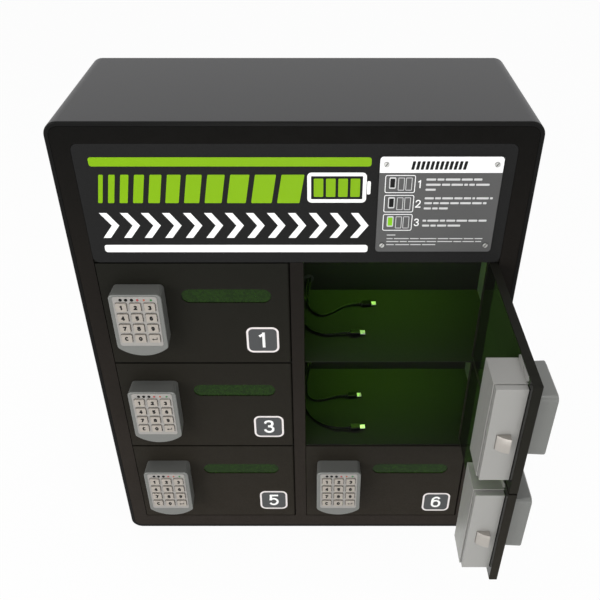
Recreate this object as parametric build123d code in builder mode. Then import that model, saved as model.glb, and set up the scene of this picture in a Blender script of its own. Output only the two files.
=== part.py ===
from build123d import *
import os
from math import cos, pi, radians, sin, tan

# Wall-mounted charging locker for phones: a sheet steel cabinet with six bays behind six
# keypad doors. Millimetres. The origin is the centre of the base, +Z is up and the doors
# face -Y. A "depth" is a distance behind the front face of the cabinet.

# ---- cabinet ----
WIDTH = 530.0
HEIGHT = 660.0
DEPTH = 215.0
EDGE_RADIUS = 16.0
LEAST_CORNER = 0.5
CASING_WALL = 2.0
RIM_WIDTH = 5.0
RIM_FILLET = 1.8
REAR_FLANGE = 15.0
BACK_SHEET = 1.5
BACK_RECESS = 2.0
SEAM = 0.4

# ---- front frame ----
FACE_SHEET = 2.0
BACKING_SHEET = 1.5
RETURN_SHEET = 1.5
SIDE_BAR = 25.2
BOTTOM_BAR = 27.2
TOP_BAR = 24.0
MULLION = 16.0
MULLION_OVERLAP = 6.0
HEADER_SEAM = 0.3
HEADER_SHEET = 2.0
HEADER_CORNER = 8.0
STRIKE_DEPTH = 42.0
REBATE_DEPTH = 11.6
REBATE_WIDTH = 11.5
STRIKE_CLEARANCE = 1.0

# ---- bays ----
COLUMNS = 2
ROWS = 3
BAY_PITCH = 153.5
BAY_DEPTH = 170.0
SHELF_SHEET = 1.2
SHELF_FLANGE = 10.0
SHELF_FLANGE_INSET = 5.0
SHELF_CLEARANCE = 0.15
DIVIDER_SHEET = 1.5
LED_LENGTH = 180.0
LED_WIDTH = 8.0
LED_HEIGHT = 3.0
LED_WALL_GAP = 14.0

# ---- doors ----
DOOR_THICKNESS = 9.5
DOOR_SHEET = 1.5
DOOR_GAP_FREE = 0.7
DOOR_GAP_HINGE = 1.2
DOOR_GAP_LEVEL = 1.4
HINGE_INSET = 4.7
HINGE_SETBACK = 4.7
HINGE_FRONT_FILLET = 3.0
HINGE_REAR_FILLET = 1.2
FREE_FILLET = 1.0
PIN_RADIUS = 1.5
PIN_CLEARANCE = 0.05
PIN_REACH = 5.0
LINER_SHEET = 2.0
LINER_GAP = 0.3
WINDOW_LENGTH = 110.0
WINDOW_HEIGHT = 20.0
WINDOW_GAP = 0.2
WINDOW_RECESS = 1.2
WINDOW_FROM_HINGE = 72.7
WINDOW_UP = 105.5

# ---- keypads ----
KEYPAD_WIDTH = 61.4
KEYPAD_TOP = 122.8
KEYPAD_LOW = 33.0
KEYPAD_SAGITTA = 12.0
KEYPAD_PROUD = 25.0
KEYPAD_WALL = 2.5
KEYPAD_FLARE = 2.5
KEYPAD_CORNER = 5.0
KEYPAD_FROM_FREE = 47.2
KEYPAD_EDGE_FILLET = 1.6
PANEL_WIDTH = 53.0
PANEL_HEIGHT = 73.2
PANEL_TOP_MARGIN = 0.9
PANEL_CORNER = 3.0
PANEL_PROUD = 0.6
KEY_COLUMNS = 3
KEY_ROWS = 4
KEY_WIDTH = 12.7
KEY_HEIGHT = 11.6
KEY_PITCH_X = 17.1
KEY_PITCH_Z = 15.5
KEY_GAP = 0.7
KEY_PROUD = 2.0
KEY_CORNER = 1.2
KEY_TOP_MARGIN = 9.5
KEY_MAT_SHEET = 2.0
KEY_MAT_GAP = 0.1
KEY_MAT_EDGE = 2.0

# ---- locks ----
LOCK_WIDTH = 40.0
LOCK_THICK = 34.0
LOCK_HEIGHT = 131.3
LOCK_LOW = 11.7
LOCK_FROM_FREE = 16.2
LOCK_SHEET = 1.2
LOCK_TAB = 6.5
LOCK_TAB_CHAMFER = 3.0
LOCK_TAB_HOLE = 1.8
LOCK_BODY_GAP = 0.3
LOCK_BODY_INSET = 0.5
LOCK_BODY_LENGTH = 40.0
LOCK_BODY_FROM_FREE = 8.6
BOLT_THICK = 14.0
BOLT_HEIGHT = 20.0
BOLT_LENGTH = 32.0
BOLT_PROUD = 7.6
BOLT_BEVEL = 6.4
BOLT_BULGE = 1.3
BOLT_BACKSET = 9.0
BOLT_UP = 70.8
BOLT_CLEARANCE = 0.15
BOLT_PULL = 6.5

# ---- instruction plate and screws ----
PLATE_SHEET = 1.5
PLATE_WIDTH = 134.0
PLATE_RIGHT_MARGIN = 13.8
PLATE_TOP_MARGIN = 14.0
PLATE_BOTTOM_MARGIN = 15.9
PLATE_CORNER = 4.0
SCREW_INSET_X = 7.2
SCREW_INSET_Z = 9.0
SCREW_HEAD_RADIUS = 2.8
SCREW_HEAD = 1.6
SCREW_RADIUS = 1.75
SCREW_LENGTH = 5.0
SLOT_WIDTH = 0.9
SLOT_DEEP = 0.8
SLOT_TILT = 55.0

# ---- back panel ----
WALL_HOLE_RADIUS = 4.25
WALL_HOLES_X = 400.0
WALL_HOLES_Z = 500.0
BACK_SCREW_ROWS = 3
BACK_SCREW_PITCH = 270.0
BACK_SCREW_SPREAD = 260.0

# ---- charging hub ----
HUB_LENGTH = 200.0
HUB_HEIGHT = 60.0
HUB_DEEP = 110.0
HUB_X = 130.0
HUB_CORNER = 4.0
INLET_WIDTH = 28.0
INLET_HEIGHT = 20.0
INLET_POCKET = 16.0
INLET_GAP = 0.3
INLET_WALL = 2.5
INLET_PIN_WIDTH = 2.0
INLET_PIN_HEIGHT = 4.0
INLET_PIN_PITCH = 7.0

# ---- charging leads ----
CORD_RADIUS = 1.6
BEND_SHARE = 0.45
GROMMET_RADIUS = 7.0
GROMMET_NECK = 5.0
GROMMET_FLANGE = 1.5
GROMMET_GAP = 0.1
GROMMET_X = 4.7
GROMMET_UP = 20.8
PLUG_BODY = (14.0, 10.0, 5.4)
PLUG_RELIEF_RADIUS = 2.5
PLUG_RELIEF = 4.0
PLUG_FILLET = 1.2
MICRO_TIP = (6.5, 6.8, 1.8)
FLAT_TIP = (7.0, 6.6, 1.5)

# ---- worked out ----
OPENING_SIDE = WIDTH / 2 - SIDE_BAR
COLUMN_WIDTH = OPENING_SIDE - MULLION / 2
INNER_SIDE = WIDTH / 2 - CASING_WALL
BACK_FACE = DEPTH - BACK_RECESS
CEILING = BOTTOM_BAR + ROWS * BAY_PITCH
HEADER_LOW = CEILING + HEADER_SEAM
HEADER_TOP = HEIGHT - TOP_BAR
BACKING_LOW = CEILING + SHELF_SHEET
DOOR_WIDTH = COLUMN_WIDTH - DOOR_GAP_FREE - DOOR_GAP_HINGE
DOOR_HEIGHT = BAY_PITCH - 2 * DOOR_GAP_LEVEL
FREE_EDGE = DOOR_WIDTH - HINGE_INSET
KEYPAD_X = -FREE_EDGE + KEYPAD_FROM_FREE
KEY_BLOCK_HEIGHT = (KEY_ROWS - 1) * KEY_PITCH_Z + KEY_HEIGHT
KEY_BLOCK_UP = KEYPAD_TOP - KEY_TOP_MARGIN - KEY_BLOCK_HEIGHT / 2
LOCK_FREE = FREE_EDGE - LOCK_FROM_FREE
BODY_FACE = FREE_EDGE - LOCK_BODY_FROM_FREE
LEVELS = [BOTTOM_BAR + row * BAY_PITCH for row in range(ROWS + 1)]

# Door number: column from the left, row from the bottom, degrees open.
DOORS = {
    1: (0, 2, 0.0),
    2: (1, 2, 90.0),
    3: (0, 1, 0.0),
    4: (1, 1, 90.0),
    5: (0, 0, 0.0),
    6: (1, 0, 0.0),
}


def at_depth(depth):
    """Y coordinate of a depth behind the front face."""
    return depth - DEPTH / 2


def front(depth):
    """Plane parallel to the front face: local x is X, local y is Z, the normal is -Y."""
    return Plane.XZ.offset(DEPTH / 2 - depth)


def column_left(column):
    """X of the left edge of a column's door opening."""
    return -OPENING_SIDE + column * (COLUMN_WIDTH + MULLION)


def column_right(column):
    return column_left(column) + COLUMN_WIDTH


def block(x, y, z, mode=Mode.ADD):
    """Box between two limits on each axis, each given as a pair."""
    centre = ((x[0] + x[1]) / 2, (y[0] + y[1]) / 2, (z[0] + z[1]) / 2)
    with Locations(centre):
        Box(x[1] - x[0], y[1] - y[0], z[1] - z[0], mode=mode)


def depth_block(x, depth, z, mode=Mode.ADD):
    """The same box, with depths in place of Y."""
    block(x, (at_depth(depth[0]), at_depth(depth[1])), z, mode)


def cabinet_outline(inset):
    """Rounded outline of the cabinet, drawn inwards by an inset."""
    with Locations((0, HEIGHT / 2)):
        RectangleRounded(WIDTH - 2 * inset, HEIGHT - 2 * inset, max(EDGE_RADIUS - inset, LEAST_CORNER))


def finish(piece, name):
    piece.part.label = name
    export_step(piece.part, f"parts/{name}.step")


os.makedirs("parts", exist_ok=True)

# ---- casing: wrap-around shell with a narrow front rim and a rear flange ----
with BuildPart() as casing:
    with BuildSketch(front(0)):
        cabinet_outline(0)
    extrude(amount=-DEPTH)
    fillet(casing.faces().sort_by(Axis.Y)[0].outer_wire().edges(), RIM_FILLET)
    with BuildSketch(front(0)):
        cabinet_outline(RIM_WIDTH)
    extrude(amount=-CASING_WALL, mode=Mode.SUBTRACT)
    with BuildSketch(front(CASING_WALL)):
        cabinet_outline(CASING_WALL)
    extrude(amount=-(BACK_FACE - BACK_SHEET - 2 * CASING_WALL), mode=Mode.SUBTRACT)
    with BuildSketch(front(BACK_FACE - BACK_SHEET - CASING_WALL)):
        cabinet_outline(CASING_WALL + REAR_FLANGE)
    extrude(amount=-CASING_WALL, mode=Mode.SUBTRACT)
    with BuildSketch(front(BACK_FACE - BACK_SHEET)):
        cabinet_outline(CASING_WALL)
    extrude(amount=-(BACK_SHEET + BACK_RECESS), mode=Mode.SUBTRACT)

# ---- screws: one shape, on the instruction plate and round the back panel ----
PLATE_LEFT = OPENING_SIDE - PLATE_RIGHT_MARGIN - PLATE_WIDTH
PLATE_HIGH = HEADER_TOP - PLATE_TOP_MARGIN
PLATE_LOW = HEADER_LOW + PLATE_BOTTOM_MARGIN
PLATE_HEIGHT = PLATE_HIGH - PLATE_LOW
plate_centre = (PLATE_LEFT + PLATE_WIDTH / 2, (PLATE_LOW + PLATE_HIGH) / 2)
plate_screw_x = [plate_centre[0] + side * (PLATE_WIDTH / 2 - SCREW_INSET_X) for side in (-1, 1)]
plate_screw_z = [plate_centre[1] + side * (PLATE_HEIGHT / 2 - SCREW_INSET_Z) for side in (-1, 1)]
plate_screws = [(x, z) for x in plate_screw_x for z in plate_screw_z]
flange_x = INNER_SIDE - REAR_FLANGE / 2
flange_z = HEIGHT / 2 - CASING_WALL - REAR_FLANGE / 2
side_rows = [BACK_SCREW_PITCH * (row - (BACK_SCREW_ROWS - 1) / 2) for row in range(BACK_SCREW_ROWS)]
back_screws = [(side * flange_x, HEIGHT / 2 + z) for side in (-1, 1) for z in side_rows]
back_screws += [
    (side * BACK_SCREW_SPREAD / 2, HEIGHT / 2 + end * flange_z)
    for side in (-1, 1)
    for end in (-1, 1)
]


def drill(points, depth, reach, radius):
    """Round holes through whatever lies between a depth and a reach behind it."""
    with BuildSketch(front(depth)) as holes:
        with Locations(*points):
            Circle(radius)
    extrude(holes.sketch, amount=-reach, mode=Mode.SUBTRACT)


def screw(x, z, head_depth, away):
    """Slotted pan-head screw under a seat at head_depth; away is -1 for a head towards -Y."""
    seat = front(head_depth)
    with BuildSketch(seat) as head:
        with Locations((x, z)):
            Circle(SCREW_HEAD_RADIUS)
    extrude(head.sketch, amount=-away * SCREW_HEAD)
    with BuildSketch(seat) as shank:
        with Locations((x, z)):
            Circle(SCREW_RADIUS)
    extrude(shank.sketch, amount=away * SCREW_LENGTH)
    with BuildSketch(front(head_depth + away * SCREW_HEAD)) as slot:
        with Locations((x, z)):
            Rectangle(3 * SCREW_HEAD_RADIUS, SLOT_WIDTH, rotation=SLOT_TILT)
    extrude(slot.sketch, amount=away * SLOT_DEEP, mode=Mode.SUBTRACT)


with BuildPart() as screws:
    for x, z in plate_screws:
        screw(x, z, -PLATE_SHEET, -1)
    for x, z in back_screws:
        screw(x, z, BACK_FACE, 1)

with BuildPart() as casing_drilled:
    add(casing.part)
    drill(back_screws, BACK_FACE - BACK_SHEET - CASING_WALL, CASING_WALL, SCREW_RADIUS)
finish(casing_drilled, "casing")
finish(screws, "screws")

# ---- front frame: face plate, backing plate behind it, posts with strikes, hinge rebates ----
strike_z = (BOLT_UP - BOLT_HEIGHT / 2 - STRIKE_CLEARANCE, BOLT_UP + BOLT_HEIGHT / 2 + STRIKE_CLEARANCE)
bolt_near = DOOR_THICKNESS + BOLT_BACKSET
strike_depth = (bolt_near - STRIKE_CLEARANCE, bolt_near + BOLT_THICK + STRIKE_CLEARANCE)
mullion_top = BACKING_LOW + MULLION_OVERLAP
with BuildPart() as front_frame:
    with BuildSketch(front(0)):
        cabinet_outline(RIM_WIDTH + SEAM)
        with BuildSketch(mode=Mode.SUBTRACT):
            with Locations((0, (BOTTOM_BAR + HEADER_TOP) / 2)):
                RectangleRounded(2 * OPENING_SIDE, HEADER_TOP - BOTTOM_BAR, HEADER_CORNER)
            with Locations((0, BOTTOM_BAR + BAY_PITCH / 2)):
                Rectangle(2 * OPENING_SIDE, BAY_PITCH)
        with Locations((0, (BOTTOM_BAR + CEILING) / 2)):
            Rectangle(MULLION, CEILING - BOTTOM_BAR)
    extrude(amount=-FACE_SHEET)
    with BuildSketch(front(FACE_SHEET)):
        cabinet_outline(CASING_WALL + SEAM)
        with Locations((0, (BOTTOM_BAR + BACKING_LOW) / 2)):
            Rectangle(
                2 * (OPENING_SIDE + RIM_WIDTH + SEAM),
                BACKING_LOW - BOTTOM_BAR + 2 * RIM_WIDTH,
                mode=Mode.SUBTRACT,
            )
        with Locations((0, BACKING_LOW + RIM_WIDTH / 2)):
            Rectangle(2 * (OPENING_SIDE + RIM_WIDTH + SEAM), RIM_WIDTH)
    extrude(amount=-BACKING_SHEET)
    for column in range(COLUMNS):
        left = column_left(column)
        right = column_right(column)
        low = BOTTOM_BAR
        free_top = CEILING if column == 0 else mullion_top
        hinge_top = mullion_top if column < COLUMNS - 1 else CEILING
        depth_block((left - RETURN_SHEET, left), (FACE_SHEET, STRIKE_DEPTH), (low, free_top))
        hinge_depth = STRIKE_DEPTH if column < COLUMNS - 1 else REBATE_DEPTH
        depth_block((right, right + RETURN_SHEET), (FACE_SHEET, hinge_depth), (low, hinge_top))
        depth_block(
            (right - REBATE_WIDTH, right + RETURN_SHEET),
            (REBATE_DEPTH, REBATE_DEPTH + RETURN_SHEET),
            (low, CEILING),
        )
        for level in LEVELS[1:-1]:
            half_slot = SHELF_SHEET / 2 + SHELF_CLEARANCE
            depth_block(
                (right - REBATE_WIDTH, right),
                (REBATE_DEPTH, REBATE_DEPTH + RETURN_SHEET),
                (level - half_slot, level + half_slot),
                Mode.SUBTRACT,
            )
        for level in LEVELS[:-1]:
            depth_block(
                (left - RETURN_SHEET, left),
                strike_depth,
                (level + strike_z[0], level + strike_z[1]),
                Mode.SUBTRACT,
            )
    drill(plate_screws, FACE_SHEET, BACKING_SHEET, SCREW_RADIUS)
finish(front_frame, "front_frame")

# ---- header panel and the instruction plate screwed to it ----
with BuildPart() as header_panel:
    with BuildSketch(front(0)) as header_outline:
        with Locations((0, (HEADER_LOW + HEADER_TOP) / 2)):
            Rectangle(2 * (OPENING_SIDE - SEAM), HEADER_TOP - HEADER_LOW - SEAM)
        fillet(header_outline.vertices().group_by(Axis.Z)[-1], HEADER_CORNER)
    extrude(amount=-HEADER_SHEET)
    drill(plate_screws, 0, HEADER_SHEET, SCREW_RADIUS)
finish(header_panel, "header_panel")

with BuildPart() as instruction_plate:
    with BuildSketch(front(-PLATE_SHEET)):
        with Locations(plate_centre):
            RectangleRounded(PLATE_WIDTH, PLATE_HEIGHT, PLATE_CORNER)
    extrude(amount=-PLATE_SHEET)
    drill(plate_screws, -PLATE_SHEET, PLATE_SHEET, SCREW_RADIUS)
finish(instruction_plate, "instruction_plate")

# ---- bay divider: one sheet with a front flange that closes the hollow mullion ----
with BuildPart() as bay_divider:
    depth_block((0, DIVIDER_SHEET), (STRIKE_DEPTH, BAY_DEPTH), (BOTTOM_BAR - SHELF_SHEET, BACKING_LOW))
    depth_block(
        (-MULLION / 2, MULLION / 2),
        (STRIKE_DEPTH, STRIKE_DEPTH + DIVIDER_SHEET),
        (BOTTOM_BAR - SHELF_SHEET, BACKING_LOW),
    )
finish(bay_divider, "bay_divider")


# ---- shelves: the floor, two shelves and the ceiling of each column ----
def shelf_z(level):
    """Underside and top of the shelf sheet at a level: floor below, ceiling above it."""
    if level == LEVELS[0]:
        return level - SHELF_SHEET, level
    if level == LEVELS[-1]:
        return level, level + SHELF_SHEET
    return level - SHELF_SHEET / 2, level + SHELF_SHEET / 2


def bay_sides(column):
    """X of the inner faces of the walls at the left and right of a bay."""
    left = -INNER_SIDE if column == 0 else DIVIDER_SHEET
    right = 0 if column == 0 else INNER_SIDE
    return left, right


def shelf_outline(column):
    """Corners in X and depth, round the posts of the front frame."""
    left, right = column_left(column), column_right(column)
    side_left, side_right = bay_sides(column)
    post_left = STRIKE_DEPTH + (DIVIDER_SHEET if column else 0)
    post_right = STRIKE_DEPTH + DIVIDER_SHEET if column == 0 else REBATE_DEPTH + RETURN_SHEET
    gap = SHELF_CLEARANCE
    return [
        (left + gap, FACE_SHEET),
        (right - gap, FACE_SHEET),
        (right - gap, post_right + gap),
        (side_right, post_right + gap),
        (side_right, BAY_DEPTH),
        (side_left, BAY_DEPTH),
        (side_left, post_left + gap),
        (left + gap, post_left + gap),
    ]


with BuildPart() as bay_shelves:
    for column in range(COLUMNS):
        side_left, side_right = bay_sides(column)
        corners = [(x, at_depth(depth)) for x, depth in shelf_outline(column)]
        for level in LEVELS:
            low, high = shelf_z(level)
            with BuildSketch(Plane.XY.offset(low)):
                with BuildLine():
                    Polyline(*corners, close=True)
                make_face()
            extrude(amount=SHELF_SHEET)
            run = (STRIKE_DEPTH + DIVIDER_SHEET + SHELF_FLANGE_INSET, BAY_DEPTH - SHELF_FLANGE_INSET)
            hang = (low - SHELF_FLANGE, low)
            depth_block((side_left, side_left + SHELF_SHEET), run, hang)
            depth_block((side_right - SHELF_SHEET, side_right), run, hang)
    hinge_x = [column_right(column) - DOOR_GAP_HINGE - HINGE_INSET for column in range(COLUMNS)]
    with BuildSketch(Plane.XY.offset(BOTTOM_BAR - SHELF_SHEET)):
        with Locations(*[(x, at_depth(HINGE_SETBACK)) for x in hinge_x]):
            Circle(PIN_RADIUS)
    extrude(amount=BACKING_LOW - BOTTOM_BAR + SHELF_SHEET, mode=Mode.SUBTRACT)
finish(bay_shelves, "bay_shelves")

# ---- hinge pins: one at each level of each column, held in the shelf sheets ----
with BuildPart() as hinge_pins:
    for x in hinge_x:
        for level in LEVELS:
            low, high = shelf_z(level)
            pin_low = low if level == LEVELS[0] else level - DOOR_GAP_LEVEL - PIN_REACH
            pin_high = high if level == LEVELS[-1] else level + DOOR_GAP_LEVEL + PIN_REACH
            with BuildSketch(Plane.XY.offset(pin_low)):
                with Locations((x, at_depth(HINGE_SETBACK))):
                    Circle(PIN_RADIUS)
            extrude(amount=pin_high - pin_low)
finish(hinge_pins, "hinge_pins")

# ---- wall behind the bays, with a cable grommet in the lower left corner of each bay ----
grommets = [
    (column_left(column) + GROMMET_X, level + GROMMET_UP)
    for column in range(COLUMNS)
    for level in LEVELS[:-1]
]
with BuildPart() as bay_back_wall:
    depth_block(
        (-INNER_SIDE, INNER_SIDE),
        (BAY_DEPTH, BAY_DEPTH + SHELF_SHEET),
        (BOTTOM_BAR - SHELF_SHEET, BACKING_LOW),
    )
    drill(grommets, BAY_DEPTH, SHELF_SHEET, GROMMET_NECK + GROMMET_GAP)
finish(bay_back_wall, "bay_back_wall")

with BuildPart() as cable_grommets:
    for x, z in grommets:
        for depth, radius, length in (
            (BAY_DEPTH - GROMMET_FLANGE, GROMMET_RADIUS, GROMMET_FLANGE),
            (BAY_DEPTH, GROMMET_NECK, SHELF_SHEET),
            (BAY_DEPTH + SHELF_SHEET, GROMMET_RADIUS, GROMMET_FLANGE),
        ):
            with BuildSketch(front(depth)):
                with Locations((x, z)):
                    Circle(radius)
            extrude(amount=-length)
finish(cable_grommets, "cable_grommets")

# ---- light strips under the ceiling of each bay ----
with BuildPart() as led_strips:
    for column in range(COLUMNS):
        middle = sum(bay_sides(column)) / 2
        for level in LEVELS[1:]:
            ceiling = shelf_z(level)[0]
            depth_block(
                (middle - LED_LENGTH / 2, middle + LED_LENGTH / 2),
                (BAY_DEPTH - LED_WALL_GAP - LED_WIDTH, BAY_DEPTH - LED_WALL_GAP),
                (ceiling - LED_HEIGHT, ceiling),
            )
finish(led_strips, "led_strips")

# ---- charging hub in the header space, with its mains inlet in the back panel ----
hub_back = BACK_FACE - BACK_SHEET
hub_z = BACKING_LOW + HUB_HEIGHT / 2
with BuildPart() as charging_hub:
    depth_block(
        (HUB_X - HUB_LENGTH / 2, HUB_X + HUB_LENGTH / 2),
        (hub_back - HUB_DEEP, hub_back),
        (BACKING_LOW, BACKING_LOW + HUB_HEIGHT),
    )
    fillet(charging_hub.edges().filter_by(Axis.Z), HUB_CORNER)
    with BuildSketch(front(hub_back)):
        with Locations((HUB_X, hub_z)):
            Rectangle(INLET_WIDTH + 2 * INLET_WALL, INLET_HEIGHT + 2 * INLET_WALL)
    extrude(amount=-BACK_SHEET)
    with BuildSketch(front(BACK_FACE - INLET_POCKET)):
        with Locations((HUB_X, hub_z)):
            Rectangle(INLET_WIDTH, INLET_HEIGHT)
        with Locations((HUB_X, hub_z)):
            with GridLocations(INLET_PIN_PITCH, 0, 3, 1):
                Rectangle(INLET_PIN_WIDTH, INLET_PIN_HEIGHT, mode=Mode.SUBTRACT)
    extrude(amount=-INLET_POCKET, mode=Mode.SUBTRACT)
finish(charging_hub, "charging_hub")

# ---- back panel ----
with BuildPart() as back_panel:
    with BuildSketch(front(BACK_FACE - BACK_SHEET)):
        cabinet_outline(CASING_WALL + SEAM)
        with Locations((HUB_X, hub_z)):
            Rectangle(
                INLET_WIDTH + 2 * (INLET_WALL + INLET_GAP),
                INLET_HEIGHT + 2 * (INLET_WALL + INLET_GAP),
                mode=Mode.SUBTRACT,
            )
        with Locations((0, HEIGHT / 2)):
            with GridLocations(WALL_HOLES_X, WALL_HOLES_Z, 2, 2):
                Circle(WALL_HOLE_RADIUS, mode=Mode.SUBTRACT)
    extrude(amount=-BACK_SHEET)
    drill(back_screws, BACK_FACE - BACK_SHEET, BACK_SHEET, SCREW_RADIUS)
finish(back_panel, "back_panel")


# ---- doors ----
# In a leaf's own frame x runs from the hinge axis towards the hinge edge, so the free edge
# is at -FREE_EDGE, y is the height above the bay's level and z points out of the leaf.
def leaf_plane(number, behind=0.0):
    """Plane of a door's leaf, a distance behind its outer face."""
    column, row, opened = DOORS[number]
    turn = radians(opened)
    hinge = Vector(hinge_x[column], at_depth(HINGE_SETBACK), LEVELS[row])
    outward = Vector(sin(turn), -cos(turn), 0)
    along = Vector(cos(turn), sin(turn), 0)
    return Plane(origin=hinge + outward * (HINGE_SETBACK - behind), x_dir=along, z_dir=outward)


def plan_plane(number, up):
    """Level plane at a height: local x runs along the leaf and local y is the distance behind."""
    leaf = leaf_plane(number)
    return Plane(origin=leaf.origin + Vector(0, 0, up), x_dir=leaf.x_dir, z_dir=(0, 0, 1))


def leaf_box(number, x, behind, up, mode=Mode.ADD):
    """Box in a leaf's frame, between two distances behind its outer face."""
    with BuildSketch(leaf_plane(number, behind[0])) as face:
        with Locations(((x[0] + x[1]) / 2, (up[0] + up[1]) / 2)):
            Rectangle(x[1] - x[0], up[1] - up[0])
    extrude(face.sketch, amount=-(behind[1] - behind[0]), mode=mode)


def make_door(number):
    """Folded steel pan, open at the back, with the window slot and the two pin holes."""
    low, high = DOOR_GAP_LEVEL, DOOR_GAP_LEVEL + DOOR_HEIGHT
    across = (-FREE_EDGE, HINGE_INSET)
    corners = (
        (across[0], 0, FREE_FILLET),
        (across[0], DOOR_THICKNESS, FREE_FILLET),
        (across[1], 0, HINGE_FRONT_FILLET),
        (across[1], DOOR_THICKNESS, HINGE_REAR_FILLET),
    )
    with BuildPart() as door:
        with BuildSketch(plan_plane(number, low)) as plan:
            with Locations((sum(across) / 2, DOOR_THICKNESS / 2)):
                Rectangle(DOOR_WIDTH, DOOR_THICKNESS)
            for x, behind, radius in corners:
                fillet(plan.vertices().sort_by_distance((x, behind))[0], radius)
        extrude(plan.sketch, amount=DOOR_HEIGHT)
        leaf_box(
            number,
            (across[0] + DOOR_SHEET, across[1] - DOOR_SHEET),
            (DOOR_SHEET, DOOR_THICKNESS),
            (low + DOOR_SHEET, high - DOOR_SHEET),
            Mode.SUBTRACT,
        )
        with BuildSketch(leaf_plane(number)) as slot:
            with Locations((-WINDOW_FROM_HINGE, WINDOW_UP)):
                SlotOverall(WINDOW_LENGTH, WINDOW_HEIGHT)
        extrude(slot.sketch, amount=-DOOR_SHEET, mode=Mode.SUBTRACT)
        with BuildSketch(plan_plane(number, 0)) as bore:
            with Locations((0, HINGE_SETBACK)):
                Circle(PIN_RADIUS + PIN_CLEARANCE)
        extrude(bore.sketch, amount=BAY_PITCH, mode=Mode.SUBTRACT)
    finish(door, f"door_{number}")


def make_liner(number):
    """Smoked acrylic sheet inside the leaf, with a raised lens that fills the window slot."""
    inset = DOOR_SHEET + LINER_GAP
    with BuildPart() as liner:
        leaf_box(
            number,
            (-FREE_EDGE + inset, HINGE_INSET - inset),
            (DOOR_THICKNESS - LINER_SHEET, DOOR_THICKNESS),
            (DOOR_GAP_LEVEL + inset, DOOR_GAP_LEVEL + DOOR_HEIGHT - inset),
        )
        with BuildSketch(leaf_plane(number, WINDOW_RECESS)) as lens:
            with Locations((-WINDOW_FROM_HINGE, WINDOW_UP)):
                SlotOverall(WINDOW_LENGTH - 2 * WINDOW_GAP, WINDOW_HEIGHT - 2 * WINDOW_GAP)
        extrude(lens.sketch, amount=-(DOOR_THICKNESS - LINER_SHEET - WINDOW_RECESS))
    finish(liner, f"door_liner_{number}")


def keypad_outline(plane, inset):
    """Outline of the keypad: square shoulders above and a shallow arc below."""
    half = KEYPAD_WIDTH / 2 - inset
    top = KEYPAD_TOP - inset
    corner = KEYPAD_LOW + KEYPAD_SAGITTA
    with BuildSketch(plane) as outline:
        with BuildLine():
            Polyline((KEYPAD_X - half, corner), (KEYPAD_X - half, top), (KEYPAD_X + half, top))
            Line((KEYPAD_X + half, top), (KEYPAD_X + half, corner))
            low = (KEYPAD_X, KEYPAD_LOW + inset)
            ThreePointArc((KEYPAD_X + half, corner), low, (KEYPAD_X - half, corner))
        make_face()
        fillet(outline.vertices(), KEYPAD_CORNER - inset)
    return outline.sketch


def key_grid(number, behind, grow):
    """The twelve key outlines of a keypad, each grown by a margin."""
    with BuildSketch(leaf_plane(number, behind)) as keys:
        with Locations((KEYPAD_X, KEY_BLOCK_UP)):
            with GridLocations(KEY_PITCH_X, KEY_PITCH_Z, KEY_COLUMNS, KEY_ROWS):
                RectangleRounded(KEY_WIDTH + 2 * grow, KEY_HEIGHT + 2 * grow, KEY_CORNER + grow)
    return keys.sketch


def make_keypad(number):
    """Hollow housing, open at the back and wider in front, with a raised panel for the keys."""
    with BuildPart() as case:
        outer = keypad_outline(leaf_plane(number), 0)
        extrude(outer, amount=KEYPAD_PROUD, taper=-KEYPAD_FLARE)
        outward = leaf_plane(number).z_dir
        rim = case.faces().sort_by(Axis((0, 0, 0), outward))[-1]
        fillet(rim.outer_wire().edges(), KEYPAD_EDGE_FILLET)
        with BuildSketch(leaf_plane(number, -KEYPAD_PROUD)) as panel:
            with Locations((KEYPAD_X, KEYPAD_TOP - PANEL_TOP_MARGIN - PANEL_HEIGHT / 2)):
                RectangleRounded(PANEL_WIDTH, PANEL_HEIGHT, PANEL_CORNER)
        extrude(panel.sketch, amount=PANEL_PROUD)
        extrude(
            keypad_outline(leaf_plane(number), KEYPAD_WALL),
            amount=KEYPAD_PROUD - KEYPAD_WALL,
            taper=-KEYPAD_FLARE,
            mode=Mode.SUBTRACT,
        )
        reach = KEYPAD_WALL + PANEL_PROUD
        grid = key_grid(number, KEYPAD_WALL - KEYPAD_PROUD, KEY_GAP)
        extrude(grid, amount=reach, mode=Mode.SUBTRACT)
    finish(case, f"keypad_case_{number}")


def make_keys(number):
    """Silicone key mat: a backing sheet behind the front wall and twelve keys through it."""
    base = KEYPAD_WALL + KEY_MAT_GAP - KEYPAD_PROUD
    mat_width = (KEY_COLUMNS - 1) * KEY_PITCH_X + KEY_WIDTH + 2 * KEY_MAT_EDGE
    mat_height = KEY_BLOCK_HEIGHT + 2 * KEY_MAT_EDGE
    with BuildPart() as keys:
        leaf_box(
            number,
            (KEYPAD_X - mat_width / 2, KEYPAD_X + mat_width / 2),
            (base, base + KEY_MAT_SHEET),
            (KEY_BLOCK_UP - mat_height / 2, KEY_BLOCK_UP + mat_height / 2),
        )
        rise = KEY_MAT_GAP + KEYPAD_WALL + PANEL_PROUD + KEY_PROUD
        extrude(key_grid(number, base, 0), amount=rise)
    finish(keys, f"keypad_keys_{number}")


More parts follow.
